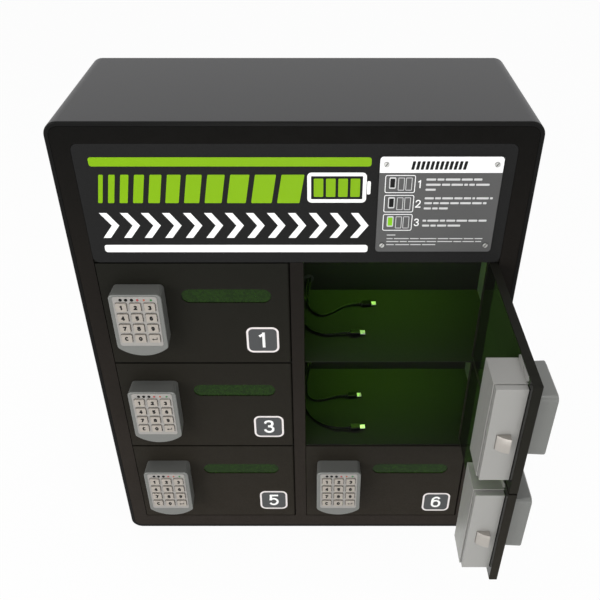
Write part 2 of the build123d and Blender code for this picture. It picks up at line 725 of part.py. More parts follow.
def make_lock(number):
    """Sheet housing on the inside of the leaf, the lock body in it and the sliding bolt."""
    inner = DOOR_THICKNESS
    back = inner + LOCK_THICK
    low, high = LOCK_LOW, LOCK_LOW + LOCK_HEIGHT
    across = (-LOCK_FREE, -LOCK_FREE + LOCK_WIDTH)
    with BuildPart() as case:
        leaf_box(number, across, (inner, back), (low, high))
        leaf_box(
            number,
            (across[0], across[1] - LOCK_SHEET),
            (inner, back - LOCK_SHEET),
            (low + LOCK_SHEET, high - LOCK_SHEET),
            Mode.SUBTRACT,
        )
        with BuildSketch(leaf_plane(number, inner)) as tab:
            with Locations((sum(across) / 2, high + LOCK_TAB / 2)):
                Rectangle(LOCK_WIDTH, LOCK_TAB)
            chamfer(tab.vertices().group_by(Axis.Z)[-1], LOCK_TAB_CHAMFER)
            with Locations((sum(across) / 2, high + LOCK_TAB / 2)):
                Circle(LOCK_TAB_HOLE, mode=Mode.SUBTRACT)
        extrude(tab.sketch, amount=-LOCK_SHEET)
    finish(case, f"lock_case_{number}")

    slack = LOCK_SHEET + LOCK_BODY_GAP
    body_across = (-BODY_FACE, -BODY_FACE + LOCK_BODY_LENGTH)
    body_behind = (inner + LOCK_BODY_INSET, back - slack)
    bolt_behind = (inner + BOLT_BACKSET, inner + BOLT_BACKSET + BOLT_THICK)
    bolt_up = (BOLT_UP - BOLT_HEIGHT / 2, BOLT_UP + BOLT_HEIGHT / 2)
    tail = -BODY_FACE - BOLT_PROUD + BOLT_LENGTH
    with BuildPart() as body:
        leaf_box(number, body_across, body_behind, (low + slack, high - slack))
        leaf_box(
            number,
            (body_across[0], tail + BOLT_PULL + STRIKE_CLEARANCE),
            (bolt_behind[0] - BOLT_CLEARANCE, bolt_behind[1] + BOLT_CLEARANCE),
            (bolt_up[0] - BOLT_CLEARANCE, bolt_up[1] + BOLT_CLEARANCE),
            Mode.SUBTRACT,
        )
    finish(body, f"lock_body_{number}")

    # The bolt's tip is rounded off on the side away from the leaf.
    tip = -BODY_FACE - BOLT_PROUD
    near, far = bolt_behind
    with BuildPart() as bolt:
        with BuildSketch(plan_plane(number, bolt_up[0])) as profile:
            with BuildLine():
                SagittaArc((tip, near), (tip + BOLT_BEVEL, far), BOLT_BULGE)
                Polyline((tip + BOLT_BEVEL, far), (tail, far), (tail, near), (tip, near))
            make_face()
        extrude(profile.sketch, amount=BOLT_HEIGHT)
    finish(bolt, f"lock_bolt_{number}")


for number in DOORS:
    make_door(number)
    make_liner(number)
    make_keypad(number)
    make_keys(number)
    make_lock(number)

# ---- charging leads ----
# By door number, the leads in its bay. Each route is a list of points: to the right of the
# door opening's left edge, in front of the back wall, and above the shelf. The last point is
# the rear of the plug.
LEADS = {
    2: {
        "cord_bay2_rear": (MICRO_TIP, [
            (6.8, 1.5, 21.5), (6.8, 11.5, 21.5), (4.4, 21.5, 13.5), (2.8, 33.0, 4.5),
            (4.8, 50.0, 1.9), (11.5, 62.0, 1.9), (24.0, 69.0, 1.9), (38.0, 61.5, 1.9),
            (50.5, 50.0, 2.2), (63.5, 41.2, 3.2), (77.0, 40.7, 3.2),
        ]),
        "cord_bay2_front": (MICRO_TIP, [
            (2.6, 1.5, 20.1), (2.6, 11.5, 20.1), (0.2, 21.0, 11.5), (-2.2, 33.0, 3.6),
            (-3.9, 51.0, 1.9), (-3.5, 71.0, 1.9), (-0.8, 90.0, 1.9), (6.5, 102.0, 1.9),
            (19.0, 110.0, 1.9), (33.5, 113.5, 2.2), (46.0, 110.3, 3.2), (57.5, 109.8, 3.2),
        ]),
    },
    4: {
        "cord_bay4_rear": (MICRO_TIP, [
            (6.8, 1.5, 21.5), (6.8, 11.0, 21.5), (3.4, 19.5, 12.0), (0.8, 30.0, 3.6),
            (0.0, 47.0, 1.9), (1.6, 65.5, 1.9), (11.0, 77.5, 1.9), (27.5, 75.5, 1.9),
            (45.5, 68.0, 3.2), (60.0, 67.0, 3.2),
        ]),
        "cord_bay4_front": (FLAT_TIP, [
            (2.6, 1.5, 20.1), (2.6, 11.0, 20.1), (-0.4, 20.0, 11.5), (-3.2, 31.5, 3.4),
            (-4.5, 49.0, 1.9), (-4.4, 71.0, 1.9), (-2.0, 93.0, 1.9), (5.2, 110.0, 1.9),
            (14.6, 122.0, 1.9), (29.0, 131.5, 1.9), (46.5, 138.3, 3.2), (61.6, 137.0, 3.2),
        ]),
    },
}


def lead_points(number, route):
    """Route points of a lead in the cabinet's frame."""
    column, row, _ = DOORS[number]
    left = column_left(column)
    floor = shelf_z(LEVELS[row])[1]
    return [Vector(left + x, at_depth(BAY_DEPTH - back), floor + up) for x, back, up in route]


def bend_radii(points):
    """Radius at each inner point: as large as its two runs allow."""
    radii = []
    for before, here, after in zip(points, points[1:], points[2:]):
        run = min((here - before).length, (after - here).length)
        turn = radians((here - before).get_angle(after - here))
        radii.append(BEND_SHARE * run / tan(turn / 2))
    return radii


def make_lead(name, points):
    radii = bend_radii(points)
    print(name, "bend radii", [round(radius, 1) for radius in radii])
    with BuildPart() as lead:
        with BuildLine() as path:
            FilletPolyline(*points, radius=radii)
        route_wire = path.wire()
        with BuildSketch(Plane(origin=route_wire @ 0, z_dir=route_wire % 0)):
            Circle(CORD_RADIUS)
        sweep()
    section = pi * CORD_RADIUS**2
    ratio = lead.part.volume / (section * route_wire.length)
    print(name, "length", round(route_wire.length, 1), "volume ratio", round(ratio, 4))
    finish(lead, name)


def plug(tip, points):
    """Moulded plug that lies on the shelf at the end of its lead."""
    ahead = points[-1] - points[-2]
    across = Plane(origin=points[-1], x_dir=ahead.cross(Vector(0, 0, 1)), z_dir=ahead)
    body_length, body_width, body_height = PLUG_BODY
    tip_length, tip_width, tip_height = tip
    with BuildSketch(across) as relief:
        Circle(PLUG_RELIEF_RADIUS)
    extrude(relief.sketch, amount=PLUG_RELIEF)
    with BuildSketch(across.offset(PLUG_RELIEF)) as body:
        RectangleRounded(body_width, body_height, PLUG_FILLET)
    extrude(body.sketch, amount=body_length)
    with BuildSketch(across.offset(PLUG_RELIEF + body_length)) as metal:
        Rectangle(tip_width, tip_height)
    extrude(metal.sketch, amount=tip_length)


lead_ends = []
for number, leads in LEADS.items():
    for name, (tip, route) in leads.items():
        points = lead_points(number, route)
        make_lead(name, points)
        lead_ends.append((tip, points))

with BuildPart() as cord_plugs:
    for tip, points in lead_ends:
        plug(tip, points)
finish(cord_plugs, "cord_plugs")
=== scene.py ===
import math

import bmesh
import bpy
from mathutils import Matrix, Vector


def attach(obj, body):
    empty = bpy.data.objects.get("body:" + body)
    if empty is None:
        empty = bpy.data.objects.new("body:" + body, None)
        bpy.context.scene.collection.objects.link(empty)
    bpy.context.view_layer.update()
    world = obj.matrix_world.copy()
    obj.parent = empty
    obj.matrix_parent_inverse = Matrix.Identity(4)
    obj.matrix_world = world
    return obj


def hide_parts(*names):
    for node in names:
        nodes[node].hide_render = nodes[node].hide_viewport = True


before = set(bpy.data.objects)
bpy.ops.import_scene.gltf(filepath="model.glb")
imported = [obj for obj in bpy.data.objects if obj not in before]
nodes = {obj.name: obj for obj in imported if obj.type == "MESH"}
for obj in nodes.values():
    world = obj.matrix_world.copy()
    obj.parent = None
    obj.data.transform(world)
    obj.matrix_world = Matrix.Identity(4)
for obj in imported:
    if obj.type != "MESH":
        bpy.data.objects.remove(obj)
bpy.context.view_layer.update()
MM = 0.001


# ---- camera ----
# It stands in front of the cabinet and well above it, tilted down, so that the top, the front
# and the insides of the two open bays are seen.
EYE_PLACE = (0.02252, -0.85572, 0.95298)
EYE_TILT = 53.09
eye = bpy.data.cameras.new("eye")
eye.sensor_width = 36.0
eye.lens = 44.567
eye.shift_x = -0.0260
eye.shift_y = 0.0469
camera = bpy.data.objects.new("camera", eye)
camera.location = EYE_PLACE
camera.rotation_euler = (math.radians(EYE_TILT), 0, 0)
bpy.context.scene.collection.objects.link(camera)
bpy.context.scene.camera = camera


# ---- charging leads ----
# Thin round leads with a soft black jacket. Two come out of a grommet in the back wall of a
# bay, drop to its shelf and lie there, each with a moulded plug on its end.
BAY_LEFT = 8.0
BACK_WALL_Y = 62.5
LEAD_RADIUS = 1.6
# Each lead's shelf height and length, and its route's points: how far right of the bay's left
# side, in front of the back wall and above the shelf.
LEADS = {
    "bay2_rear": (334.8, 142.5, [
        (6.8, 1.5, 21.5), (6.8, 11.5, 21.5), (4.4, 21.5, 13.5), (2.8, 33.0, 4.5),
        (4.8, 50.0, 1.9), (11.5, 62.0, 1.9), (24.0, 69.0, 1.9), (38.0, 61.5, 1.9),
        (50.5, 50.0, 2.2), (63.5, 41.2, 3.2), (77.0, 40.7, 3.2),
    ]),
    "bay2_front": (334.8, 161.7, [
        (2.6, 1.5, 20.1), (2.6, 11.5, 20.1), (0.2, 21.0, 11.5), (-2.2, 33.0, 3.6),
        (-3.9, 51.0, 1.9), (-3.5, 71.0, 1.9), (-0.8, 90.0, 1.9), (6.5, 102.0, 1.9),
        (19.0, 110.0, 1.9), (33.5, 113.5, 2.2), (46.0, 110.3, 3.2), (57.5, 109.8, 3.2),
    ]),
    "bay4_rear": (181.3, 135.2, [
        (6.8, 1.5, 21.5), (6.8, 11.0, 21.5), (3.4, 19.5, 12.0), (0.8, 30.0, 3.6),
        (0.0, 47.0, 1.9), (1.6, 65.5, 1.9), (11.0, 77.5, 1.9), (27.5, 75.5, 1.9),
        (45.5, 68.0, 3.2), (60.0, 67.0, 3.2),
    ]),
    "bay4_front": (181.3, 181.9, [
        (2.6, 1.5, 20.1), (2.6, 11.0, 20.1), (-0.4, 20.0, 11.5), (-3.2, 31.5, 3.4),
        (-4.5, 49.0, 1.9), (-4.4, 71.0, 1.9), (-2.0, 93.0, 1.9), (5.2, 110.0, 1.9),
        (14.6, 122.0, 1.9), (29.0, 131.5, 1.9), (46.5, 138.3, 3.2), (61.6, 137.0, 3.2),
    ]),
}


def linear(red, green, blue):
    """Screen colour, 0 to 255, as the linear colour that a shader takes."""
    shares = [value / 255 for value in (red, green, blue)]
    return [s / 12.92 if s <= 0.04045 else ((s + 0.055) / 1.055) ** 2.4 for s in shares] + [1.0]


def finish_of(name, colour, roughness, **sockets):
    """Material with one Principled shader; sockets are given with _ for a space."""
    material = bpy.data.materials.new(name)
    material.use_nodes = True
    shader = material.node_tree.nodes["Principled BSDF"]
    shader.inputs["Base Color"].default_value = linear(*colour)
    shader.inputs["Roughness"].default_value = roughness
    for socket, value in sockets.items():
        shader.inputs[socket.replace("_", " ")].default_value = value
    return material


def pattern(material, scale, detail=2.0, stretch=(1, 1, 1)):
    """Noise on Object coordinates, with features of about 1 / scale metres."""
    tree = material.node_tree
    place = tree.nodes.new("ShaderNodeTexCoord")
    mapping = tree.nodes.new("ShaderNodeMapping")
    mapping.inputs["Scale"].default_value = stretch
    noise = tree.nodes.new("ShaderNodeTexNoise")
    noise.inputs["Scale"].default_value = scale
    noise.inputs["Detail"].default_value = detail
    tree.links.new(place.outputs["Object"], mapping.inputs["Vector"])
    tree.links.new(mapping.outputs["Vector"], noise.inputs["Vector"])
    return noise.outputs["Fac"]


def add_grain(material, factor, depth):
    """Bump whose full height is depth, in metres, over any bump that is there already."""
    tree = material.node_tree
    shader = tree.nodes["Principled BSDF"]
    bump = tree.nodes.new("ShaderNodeBump")
    bump.inputs["Distance"].default_value = depth
    bump.inputs["Strength"].default_value = 1.0
    tree.links.new(factor, bump.inputs["Height"])
    if shader.inputs["Normal"].is_linked:
        earlier = shader.inputs["Normal"].links[0].from_socket
        tree.links.new(earlier, bump.inputs["Normal"])
    tree.links.new(bump.outputs["Normal"], shader.inputs["Normal"])


PATTERN_MIDDLE = (0.3, 0.7)


def vary(material, socket, factor, low, high):
    """Ramp on a shader's socket from low to high, numbers or colours, over a pattern's middle."""
    tree = material.node_tree
    if isinstance(low, list):
        ramp = tree.nodes.new("ShaderNodeValToRGB")
        first, last = ramp.color_ramp.elements
        first.position, last.position = PATTERN_MIDDLE
        first.color, last.color = low, high
        tree.links.new(factor, ramp.inputs["Fac"])
        varied = ramp.outputs["Color"]
    else:
        ramp = tree.nodes.new("ShaderNodeMapRange")
        ramp.inputs["From Min"].default_value = PATTERN_MIDDLE[0]
        ramp.inputs["From Max"].default_value = PATTERN_MIDDLE[1]
        ramp.inputs["To Min"].default_value = low
        ramp.inputs["To Max"].default_value = high
        tree.links.new(factor, ramp.inputs["Value"])
        varied = ramp.outputs["Result"]
    tree.links.new(varied, tree.nodes["Principled BSDF"].inputs[socket])


def dress(obj, material):
    """Gives an object one material in place of those it has."""
    obj.data.materials.clear()
    obj.data.materials.append(material)


def new_piece(name, shape, material, body):
    """Mesh object from a bmesh, riding on a body."""
    mesh = bpy.data.meshes.new(name)
    shape.to_mesh(mesh)
    shape.free()
    piece = bpy.data.objects.new(name, mesh)
    bpy.context.scene.collection.objects.link(piece)
    mesh.materials.append(material)
    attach(piece, body)
    return piece


lead_jacket = finish_of("lead_jacket", (5, 5, 5), 0.45, Specular_IOR_Level=0.12)
vary(lead_jacket, "Roughness", pattern(lead_jacket, 300), 0.34, 0.5)
add_grain(lead_jacket, pattern(lead_jacket, 2500), 0.00004)
plug_plastic = finish_of("plug_plastic", (7, 7, 7), 0.4, Specular_IOR_Level=0.12)
vary(plug_plastic, "Roughness", pattern(plug_plastic, 400), 0.3, 0.45)
add_grain(plug_plastic, pattern(plug_plastic, 4000), 0.00003)
plug_metal = finish_of("plug_metal", (235, 235, 235), 0.3, Metallic=0.3)
vary(plug_metal, "Roughness", pattern(plug_metal, 900, stretch=(1, 1, 6)), 0.18, 0.32)

PLUG_LENGTH = 14.0
PLUG_WIDTH = 10.0
PLUG_HEIGHT = 5.4
PLUG_CORNER = 1.3
RELIEF_LENGTH = 4.0
RELIEF_START = 1.75
RELIEF_END = 2.5
RELIEF_RINGS = 3
RELIEF_GROOVE = 0.35
# Length, width and height of a plug's metal tip.
MICRO_TIP = (6.5, 6.8, 1.8)
FLAT_TIP = (7.0, 6.6, 1.5)
FLAT_TIP_LEAD = "bay4_front"
TIP_SHELL = 0.3
TIP_HOLLOW = 0.5


def block(shape, start, size):
    """Adds a block to a bmesh, from start along +X, in millimetres; returns its vertices."""
    made = bmesh.ops.create_cube(shape, size=1.0)["verts"]
    bmesh.ops.scale(shape, vec=Vector(size) * MM, verts=made)
    bmesh.ops.translate(shape, vec=((start + size[0] / 2) * MM, 0, 0), verts=made)
    return made


def lead_plug(tip):
    """Moulded plug along +X from the end of its lead: ringed relief, body and metal tip."""
    shape = bmesh.new()
    step = RELIEF_LENGTH / (2 * RELIEF_RINGS)
    for ring in range(RELIEF_RINGS):
        grown = RELIEF_START + (RELIEF_END - RELIEF_START) * (ring + 1) / RELIEF_RINGS
        for part, radius in enumerate((grown - RELIEF_GROOVE, grown)):
            centre = (2 * ring + part + 0.5) * step
            place = Matrix.Translation((centre * MM, 0, 0)) @ Matrix.Rotation(math.pi / 2, 4, "Y")
            bmesh.ops.create_cone(
                shape, cap_ends=True, segments=24, radius1=radius * MM, radius2=radius * MM,
                depth=step * MM, matrix=place,
            )
    body = block(shape, RELIEF_LENGTH, (PLUG_LENGTH, PLUG_WIDTH, PLUG_HEIGHT))
    bmesh.ops.bevel(
        shape, geom=list({edge for vert in body for edge in vert.link_edges}),
        offset=PLUG_CORNER * MM, offset_type="OFFSET", segments=4, profile=0.5, affect="EDGES",
        material=-1, clamp_overlap=True,
    )
    tip_start = RELIEF_LENGTH + PLUG_LENGTH
    shell = block(shape, tip_start, tip)
    mouth = max({face for vert in shell for face in vert.link_faces},
                key=lambda face: face.calc_center_median().x)
    bmesh.ops.inset_region(shape, faces=[mouth], thickness=TIP_SHELL * MM)
    inner = bmesh.ops.extrude_discrete_faces(shape, faces=[mouth])["faces"]
    bmesh.ops.translate(shape, vec=(-TIP_HOLLOW * tip[0] * MM, 0, 0), verts=inner[0].verts)
    for face in shape.faces:
        face.material_index = 1 if face.calc_center_median().x > tip_start * MM else 0
    return shape


for name, (floor, length, route) in LEADS.items():
    points = [Vector((BAY_LEFT + x, BACK_WALL_Y - back, floor + up)) * MM for x, back, up in route]
    line = bpy.data.curves.new(f"lead_{name}", "CURVE")
    line.dimensions = "3D"
    line.bevel_depth = LEAD_RADIUS * MM
    line.bevel_resolution = 5
    line.resolution_u = 10
    line.use_fill_caps = True
    spline = line.splines.new("NURBS")
    spline.points.add(len(points) - 1)
    for control, point in zip(spline.points, points):
        control.co = (*point, 1.0)
    spline.order_u = 3
    spline.use_endpoint_u = True
    lead = bpy.data.objects.new(f"lead_{name}", line)
    bpy.context.scene.collection.objects.link(lead)
    line.materials.append(lead_jacket)
    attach(lead, "cabinet")
    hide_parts(f"cord_{name}")

    ahead = (points[-1] - points[-2]).normalized()
    shape = lead_plug(FLAT_TIP if name == FLAT_TIP_LEAD else MICRO_TIP)
    turn = ahead.to_track_quat("X", "Z").to_matrix().to_4x4()
    bmesh.ops.transform(shape, matrix=Matrix.Translation(points[-1]) @ turn, verts=shape.verts)
    plug = new_piece(f"plug_{name}", shape, plug_plastic, "cabinet")
    plug.data.materials.append(plug_metal)
    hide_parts("cord_plugs")


# ---- casing ----
# One folded steel shell with large rounded corners, a narrow rim round its front and a
# flange round its back. Satin powder coat, dark grey on the shell; the rim is darkened with painted
# shade.
FRONT_Y = -107.5
# Painted shade on the front rim, and the depths behind the front over which it fades out.
RIM_PAINTED_SHADE = (10, 10, 9)
RIM_SHADE_DEPTH = (1.6, 2.4)


def by_place(material, axis, start, end, near, far, socket="Base Color"):
    """Tone that goes from near to far between two places on an axis, in millimetres.

    Each is a linear colour, the output of a node, or None for the tone that is there now.
    """
    tree = material.node_tree
    place = tree.nodes.new("ShaderNodeTexCoord")
    parts = tree.nodes.new("ShaderNodeSeparateXYZ")
    span = tree.nodes.new("ShaderNodeMapRange")
    span.inputs["From Min"].default_value = start * MM
    span.inputs["From Max"].default_value = end * MM
    mix = tree.nodes.new("ShaderNodeMix")
    mix.data_type = "RGBA"
    base = tree.nodes["Principled BSDF"].inputs[socket]
    for side, tone in (("A", near), ("B", far)):
        if tone is None:
            tone = base.links[0].from_socket
        if isinstance(tone, bpy.types.NodeSocket):
            tree.links.new(tone, mix.inputs[side])
        else:
            mix.inputs[side].default_value = tone
    tree.links.new(place.outputs["Object"], parts.inputs["Vector"])
    tree.links.new(parts.outputs[axis], span.inputs["Value"])
    tree.links.new(span.outputs["Result"], mix.inputs["Factor"])
    tree.links.new(mix.outputs["Result"], base)


casing_coat = finish_of("casing_coat", (62, 62, 63), 0.42, Specular_IOR_Level=0.1)
vary(casing_coat, "Base Color", pattern(casing_coat, 700), linear(61, 61, 62), linear(64, 64, 65))
vary(casing_coat, "Roughness", pattern(casing_coat, 600), 0.38, 0.42)
add_grain(casing_coat, pattern(casing_coat, 900), 0.00004)
# Darkens the front rim with painted shade.
rim_shade_y = [FRONT_Y + depth for depth in RIM_SHADE_DEPTH]
by_place(casing_coat, "Y", *rim_shade_y, linear(*RIM_PAINTED_SHADE), None)
dress(nodes["casing"], casing_coat)


# ---- back panel and screws ----
# A flat steel sheet inside the rear of the casing, held by zinc-plated slotted screws. The
# same screws hold the instruction plate. Their heads are bright, and painted shade darkens
# what lies deeper than a head's face, the floors of the slots among it.
back_coat = finish_of("back_coat", (48, 48, 48), 0.5)
vary(back_coat, "Roughness", pattern(back_coat, 30), 0.45, 0.56)
add_grain(back_coat, pattern(back_coat, 900), 0.00006)
dress(nodes["back_panel"], back_coat)
ZINC = (186, 186, 183)
# Painted shade in the screws' slots, and where on Y it begins for the plate's screws and the
# back's.
SLOT_PAINTED_SHADE = (14, 14, 13)
PLATE_SLOT_Y = (-110.0, -109.85)
BACK_SLOT_Y = (106.35, 106.5)
zinc = finish_of("zinc", ZINC, 0.34, Metallic=0.5)
vary(zinc, "Base Color", pattern(zinc, 900), linear(180, 180, 177), linear(190, 190, 187))
# Painted shade on everything deeper than a screw head's face: behind the plate screws' faces, in
# front of the back screws' faces.
by_place(zinc, "Y", *PLATE_SLOT_Y, None, linear(*SLOT_PAINTED_SHADE))
by_place(zinc, "Y", *BACK_SLOT_Y, None, linear(*ZINC))
vary(zinc, "Roughness", pattern(zinc, 700), 0.26, 0.44)
add_grain(zinc, pattern(zinc, 1800, stretch=(1, 1, 12)), 0.00004)
dress(nodes["screws"], zinc)


# ---- front frame ----
# Steel face plate with posts between the door openings. Fine textured charcoal powder coat,
# the same as on the doors; painted shade darkens it towards the top, so its lower part reads
# lighter and warmer.
def textured_coat(name, dark, light):
    """Powder coat with a fine leather-like texture and slight changes of tone."""
    coat = finish_of(name, dark, 0.6, Specular_IOR_Level=0.05)
    vary(coat, "Base Color", pattern(coat, 450, 3.0), linear(*dark), linear(*light))
    vary(coat, "Roughness", pattern(coat, 60), 0.48, 0.62)
    add_grain(coat, pattern(coat, 1400, 3.0), 0.00012)
    add_grain(coat, pattern(coat, 350, 1.0), 0.00006)
    return coat


# Painted shade: the frame's coat darkens from its own tone low down to this tone at the top.
FRAME_PAINTED_SHADE_Z = (120.0, 690.0)
FRAME_TOP_PAINTED_SHADE = (9, 9, 8)
frame_coat = textured_coat("frame_coat", (38, 34, 30), (44, 39, 35))
by_place(frame_coat, "Z", *FRAME_PAINTED_SHADE_Z, None, linear(*FRAME_TOP_PAINTED_SHADE))
dress(nodes["front_frame"], frame_coat)


# ---- header panel and its print ----
# A flat panel with a matt charcoal laminate. The print on it is a bar above and below, a row
# of slanted blocks, a row of arrows and a battery sign, in green and white vinyl.
header_coat = finish_of("header_coat", (33, 33, 33), 0.5, Specular_IOR_Level=0.04)
vary(header_coat, "Base Color", pattern(header_coat, 500), linear(31, 31, 31), linear(34, 34, 34))
add_grain(header_coat, pattern(header_coat, 1600), 0.00004)
dress(nodes["header_panel"], header_coat)

VINYL_THICK = 0.2


def vinyl(name, colour, gloss):
    """Cut self-adhesive vinyl, satin and very slightly grained."""
    film = finish_of(name, colour, 0.38, Specular_IOR_Level=gloss)
    vary(film, "Roughness", pattern(film, 120), 0.34, 0.44)
    add_grain(film, pattern(film, 1200), 0.00002)
    return film


def round_face(shape, corners, radius, segments, bottom=0.0):
    """Adds a flat face on the XY plane from its corners, in millimetres, and rounds them."""
    verts = [shape.verts.new((x * MM, y * MM, bottom * MM)) for x, y in corners]
    face = shape.faces.new(verts)
    if not radius:
        return face
    rounded = bmesh.ops.bevel(
        shape, geom=verts, offset=radius * MM, offset_type="OFFSET", segments=segments,
        profile=0.5, affect="VERTICES", material=-1, clamp_overlap=True,
    )
    around = {face for vert in rounded["verts"] for face in vert.link_faces}
    return max(around, key=lambda face: face.calc_area())


def thicken(shape, faces, thick):
    """Extrudes faces of the XY plane upwards, by thick millimetres."""
    raised = bmesh.ops.extrude_face_region(shape, geom=faces)
    verts = [item for item in raised["geom"] if isinstance(item, bmesh.types.BMVert)]
    bmesh.ops.translate(shape, vec=(0, 0, thick * MM), verts=verts)


def flat_shape(shape, corners, thick, radius=0.0, bottom=0.0):
    """Adds a plate on the XY plane, with rounded corners."""
    face = round_face(shape, corners, radius, segments=5, bottom=bottom)
    thicken(shape, [face], thick)


def rectangle(x, y, slant=0.0):
    """Corners between two limits each way; slant moves the upper ones to the right."""
    return [(x[0], y[0]), (x[1], y[0]), (x[1] + slant, y[1]), (x[0] + slant, y[1])]


def ring_shape(shape, x, y, wall, thick, radius):
    """Adds a frame on the XY plane, with rounded corners."""
    face = round_face(shape, rectangle(x, y), radius, segments=6)
    rim = bmesh.ops.inset_individual(
        shape, faces=[face], thickness=wall * MM, use_even_offset=True
    )["faces"]
    bmesh.ops.delete(shape, geom=[face], context="FACES")
    thicken(shape, rim, thick)


def on_front(shape, out):
    """Stands a flat shape up on the front, out millimetres before it: its y becomes Z."""
    place = Matrix.Translation((0, (FRONT_Y - out) * MM, 0)) @ Matrix.Rotation(math.pi / 2, 4, "X")
    bmesh.ops.transform(shape, matrix=place, verts=shape.verts)
    bmesh.ops.recalc_face_normals(shape, faces=shape.faces)
    return shape


green_vinyl = vinyl("green_vinyl", (125, 171, 9), 0.12)
white_vinyl = vinyl("white_vinyl", (246, 246, 245), 0.3)
BAR_X = (-223.0, 83.0)
UPPER_BAR_Z = (610.0, 620.5)
LOWER_BAR_Z = (502.3, 512.0)
BAR_CORNER = 3.0
BLOCK_START = -220.6
BLOCK_Z = (566.0, 600.3)
BLOCK_SLANT = 6.0
BLOCK_WIDTHS = (5, 7, 9, 11, 13, 15, 17, 19, 21, 23, 25)
BLOCK_GAP = 6.0
BLOCK_CORNER = 1.2
ARROW_Z = (521.5, 553.5)
ARROW_COUNT = 13
ARROW_START = -222.0
ARROW_PITCH = 23.7
ARROW_STROKE = 8.5
ARROW_REACH = 12.0

shape = bmesh.new()
flat_shape(shape, rectangle(BAR_X, UPPER_BAR_Z), VINYL_THICK, BAR_CORNER)
x = BLOCK_START
for width in BLOCK_WIDTHS:
    flat_shape(shape, rectangle((x, x + width), BLOCK_Z, BLOCK_SLANT), VINYL_THICK, BLOCK_CORNER)
    x += width + BLOCK_GAP
new_piece("header_print_green", on_front(shape, 0), green_vinyl, "cabinet")

shape = bmesh.new()
flat_shape(shape, rectangle(BAR_X, LOWER_BAR_Z), VINYL_THICK, BAR_CORNER)
middle = sum(ARROW_Z) / 2
for number in range(ARROW_COUNT):
    x = ARROW_START + number * ARROW_PITCH
    tip = x + ARROW_REACH
    flat_shape(shape, [
        (x, ARROW_Z[0]), (x + ARROW_STROKE, ARROW_Z[0]), (tip + ARROW_STROKE, middle),
        (x + ARROW_STROKE, ARROW_Z[1]), (x, ARROW_Z[1]), (tip, middle),
    ], VINYL_THICK)
new_piece("header_print_white", on_front(shape, 0), white_vinyl, "cabinet")

CELL_X = (13.3, 78.7)
CELL_Z = (566.5, 602.8)
CELL_WALL = 4.2
CELL_CORNER = 5.0
TERMINAL_OUT = (0.6, 4.5)
TERMINAL_HEIGHT = 16.0
TERMINAL_CORNER = 1.5
CHARGE_BARS = 4
CHARGE_GAP = 3.0
CHARGE_CORNER = 1.0
shape = bmesh.new()
ring_shape(shape, CELL_X, CELL_Z, CELL_WALL, VINYL_THICK, CELL_CORNER)
terminal_x = [CELL_X[1] + out for out in TERMINAL_OUT]
middle = sum(CELL_Z) / 2
terminal_z = (middle - TERMINAL_HEIGHT / 2, middle + TERMINAL_HEIGHT / 2)
flat_shape(shape, rectangle(terminal_x, terminal_z), VINYL_THICK, TERMINAL_CORNER)
new_piece("battery_sign_case", on_front(shape, 0), white_vinyl, "cabinet")
shape = bmesh.new()
inset = CELL_WALL + CHARGE_GAP
room_z = (CELL_Z[0] + inset, CELL_Z[1] - inset)
bar = (CELL_X[1] - CELL_X[0] - 2 * inset - (CHARGE_BARS - 1) * CHARGE_GAP) / CHARGE_BARS
for number in range(CHARGE_BARS):
    x = CELL_X[0] + inset + number * (bar + CHARGE_GAP)
    flat_shape(shape, rectangle((x, x + bar), room_z), VINYL_THICK, CHARGE_CORNER)
new_piece("battery_sign_charge", on_front(shape, 0), green_vinyl, "cabinet")


# ---- instruction plate ----
# A grey aluminium plate with rounded corners, screwed to the header. Printed with a white
# title band, three numbered steps with plain signs, and lines in place of small print.
PLATE_OUT = 1.5
PLATE_X = (92.0, 226.0)
PLATE_Z = (503.9, 622.0)
plate_print = finish_of("plate_grey", (83, 83, 83), 0.42, Specular_IOR_Level=0.25)
vary(plate_print, "Roughness", pattern(plate_print, 200), 0.36, 0.5)
add_grain(plate_print, pattern(plate_print, 1500), 0.00003)
dress(nodes["instruction_plate"], plate_print)
INK_THICK = 0.12
# Colour and gloss of each ink.
INKS = {
    "white": ((246, 246, 246), 0.3), "pale": ((200, 200, 200), 0.3),
    "green": ((125, 190, 20), 0.2), "black": ((12, 12, 12), 0.15),
}
inks = {}
for tone, (colour, gloss) in INKS.items():
    inks[tone] = finish_of(f"ink_{tone}", colour, 0.45, Specular_IOR_Level=gloss)
    add_grain(inks[tone], pattern(inks[tone], 1500), 0.00002)


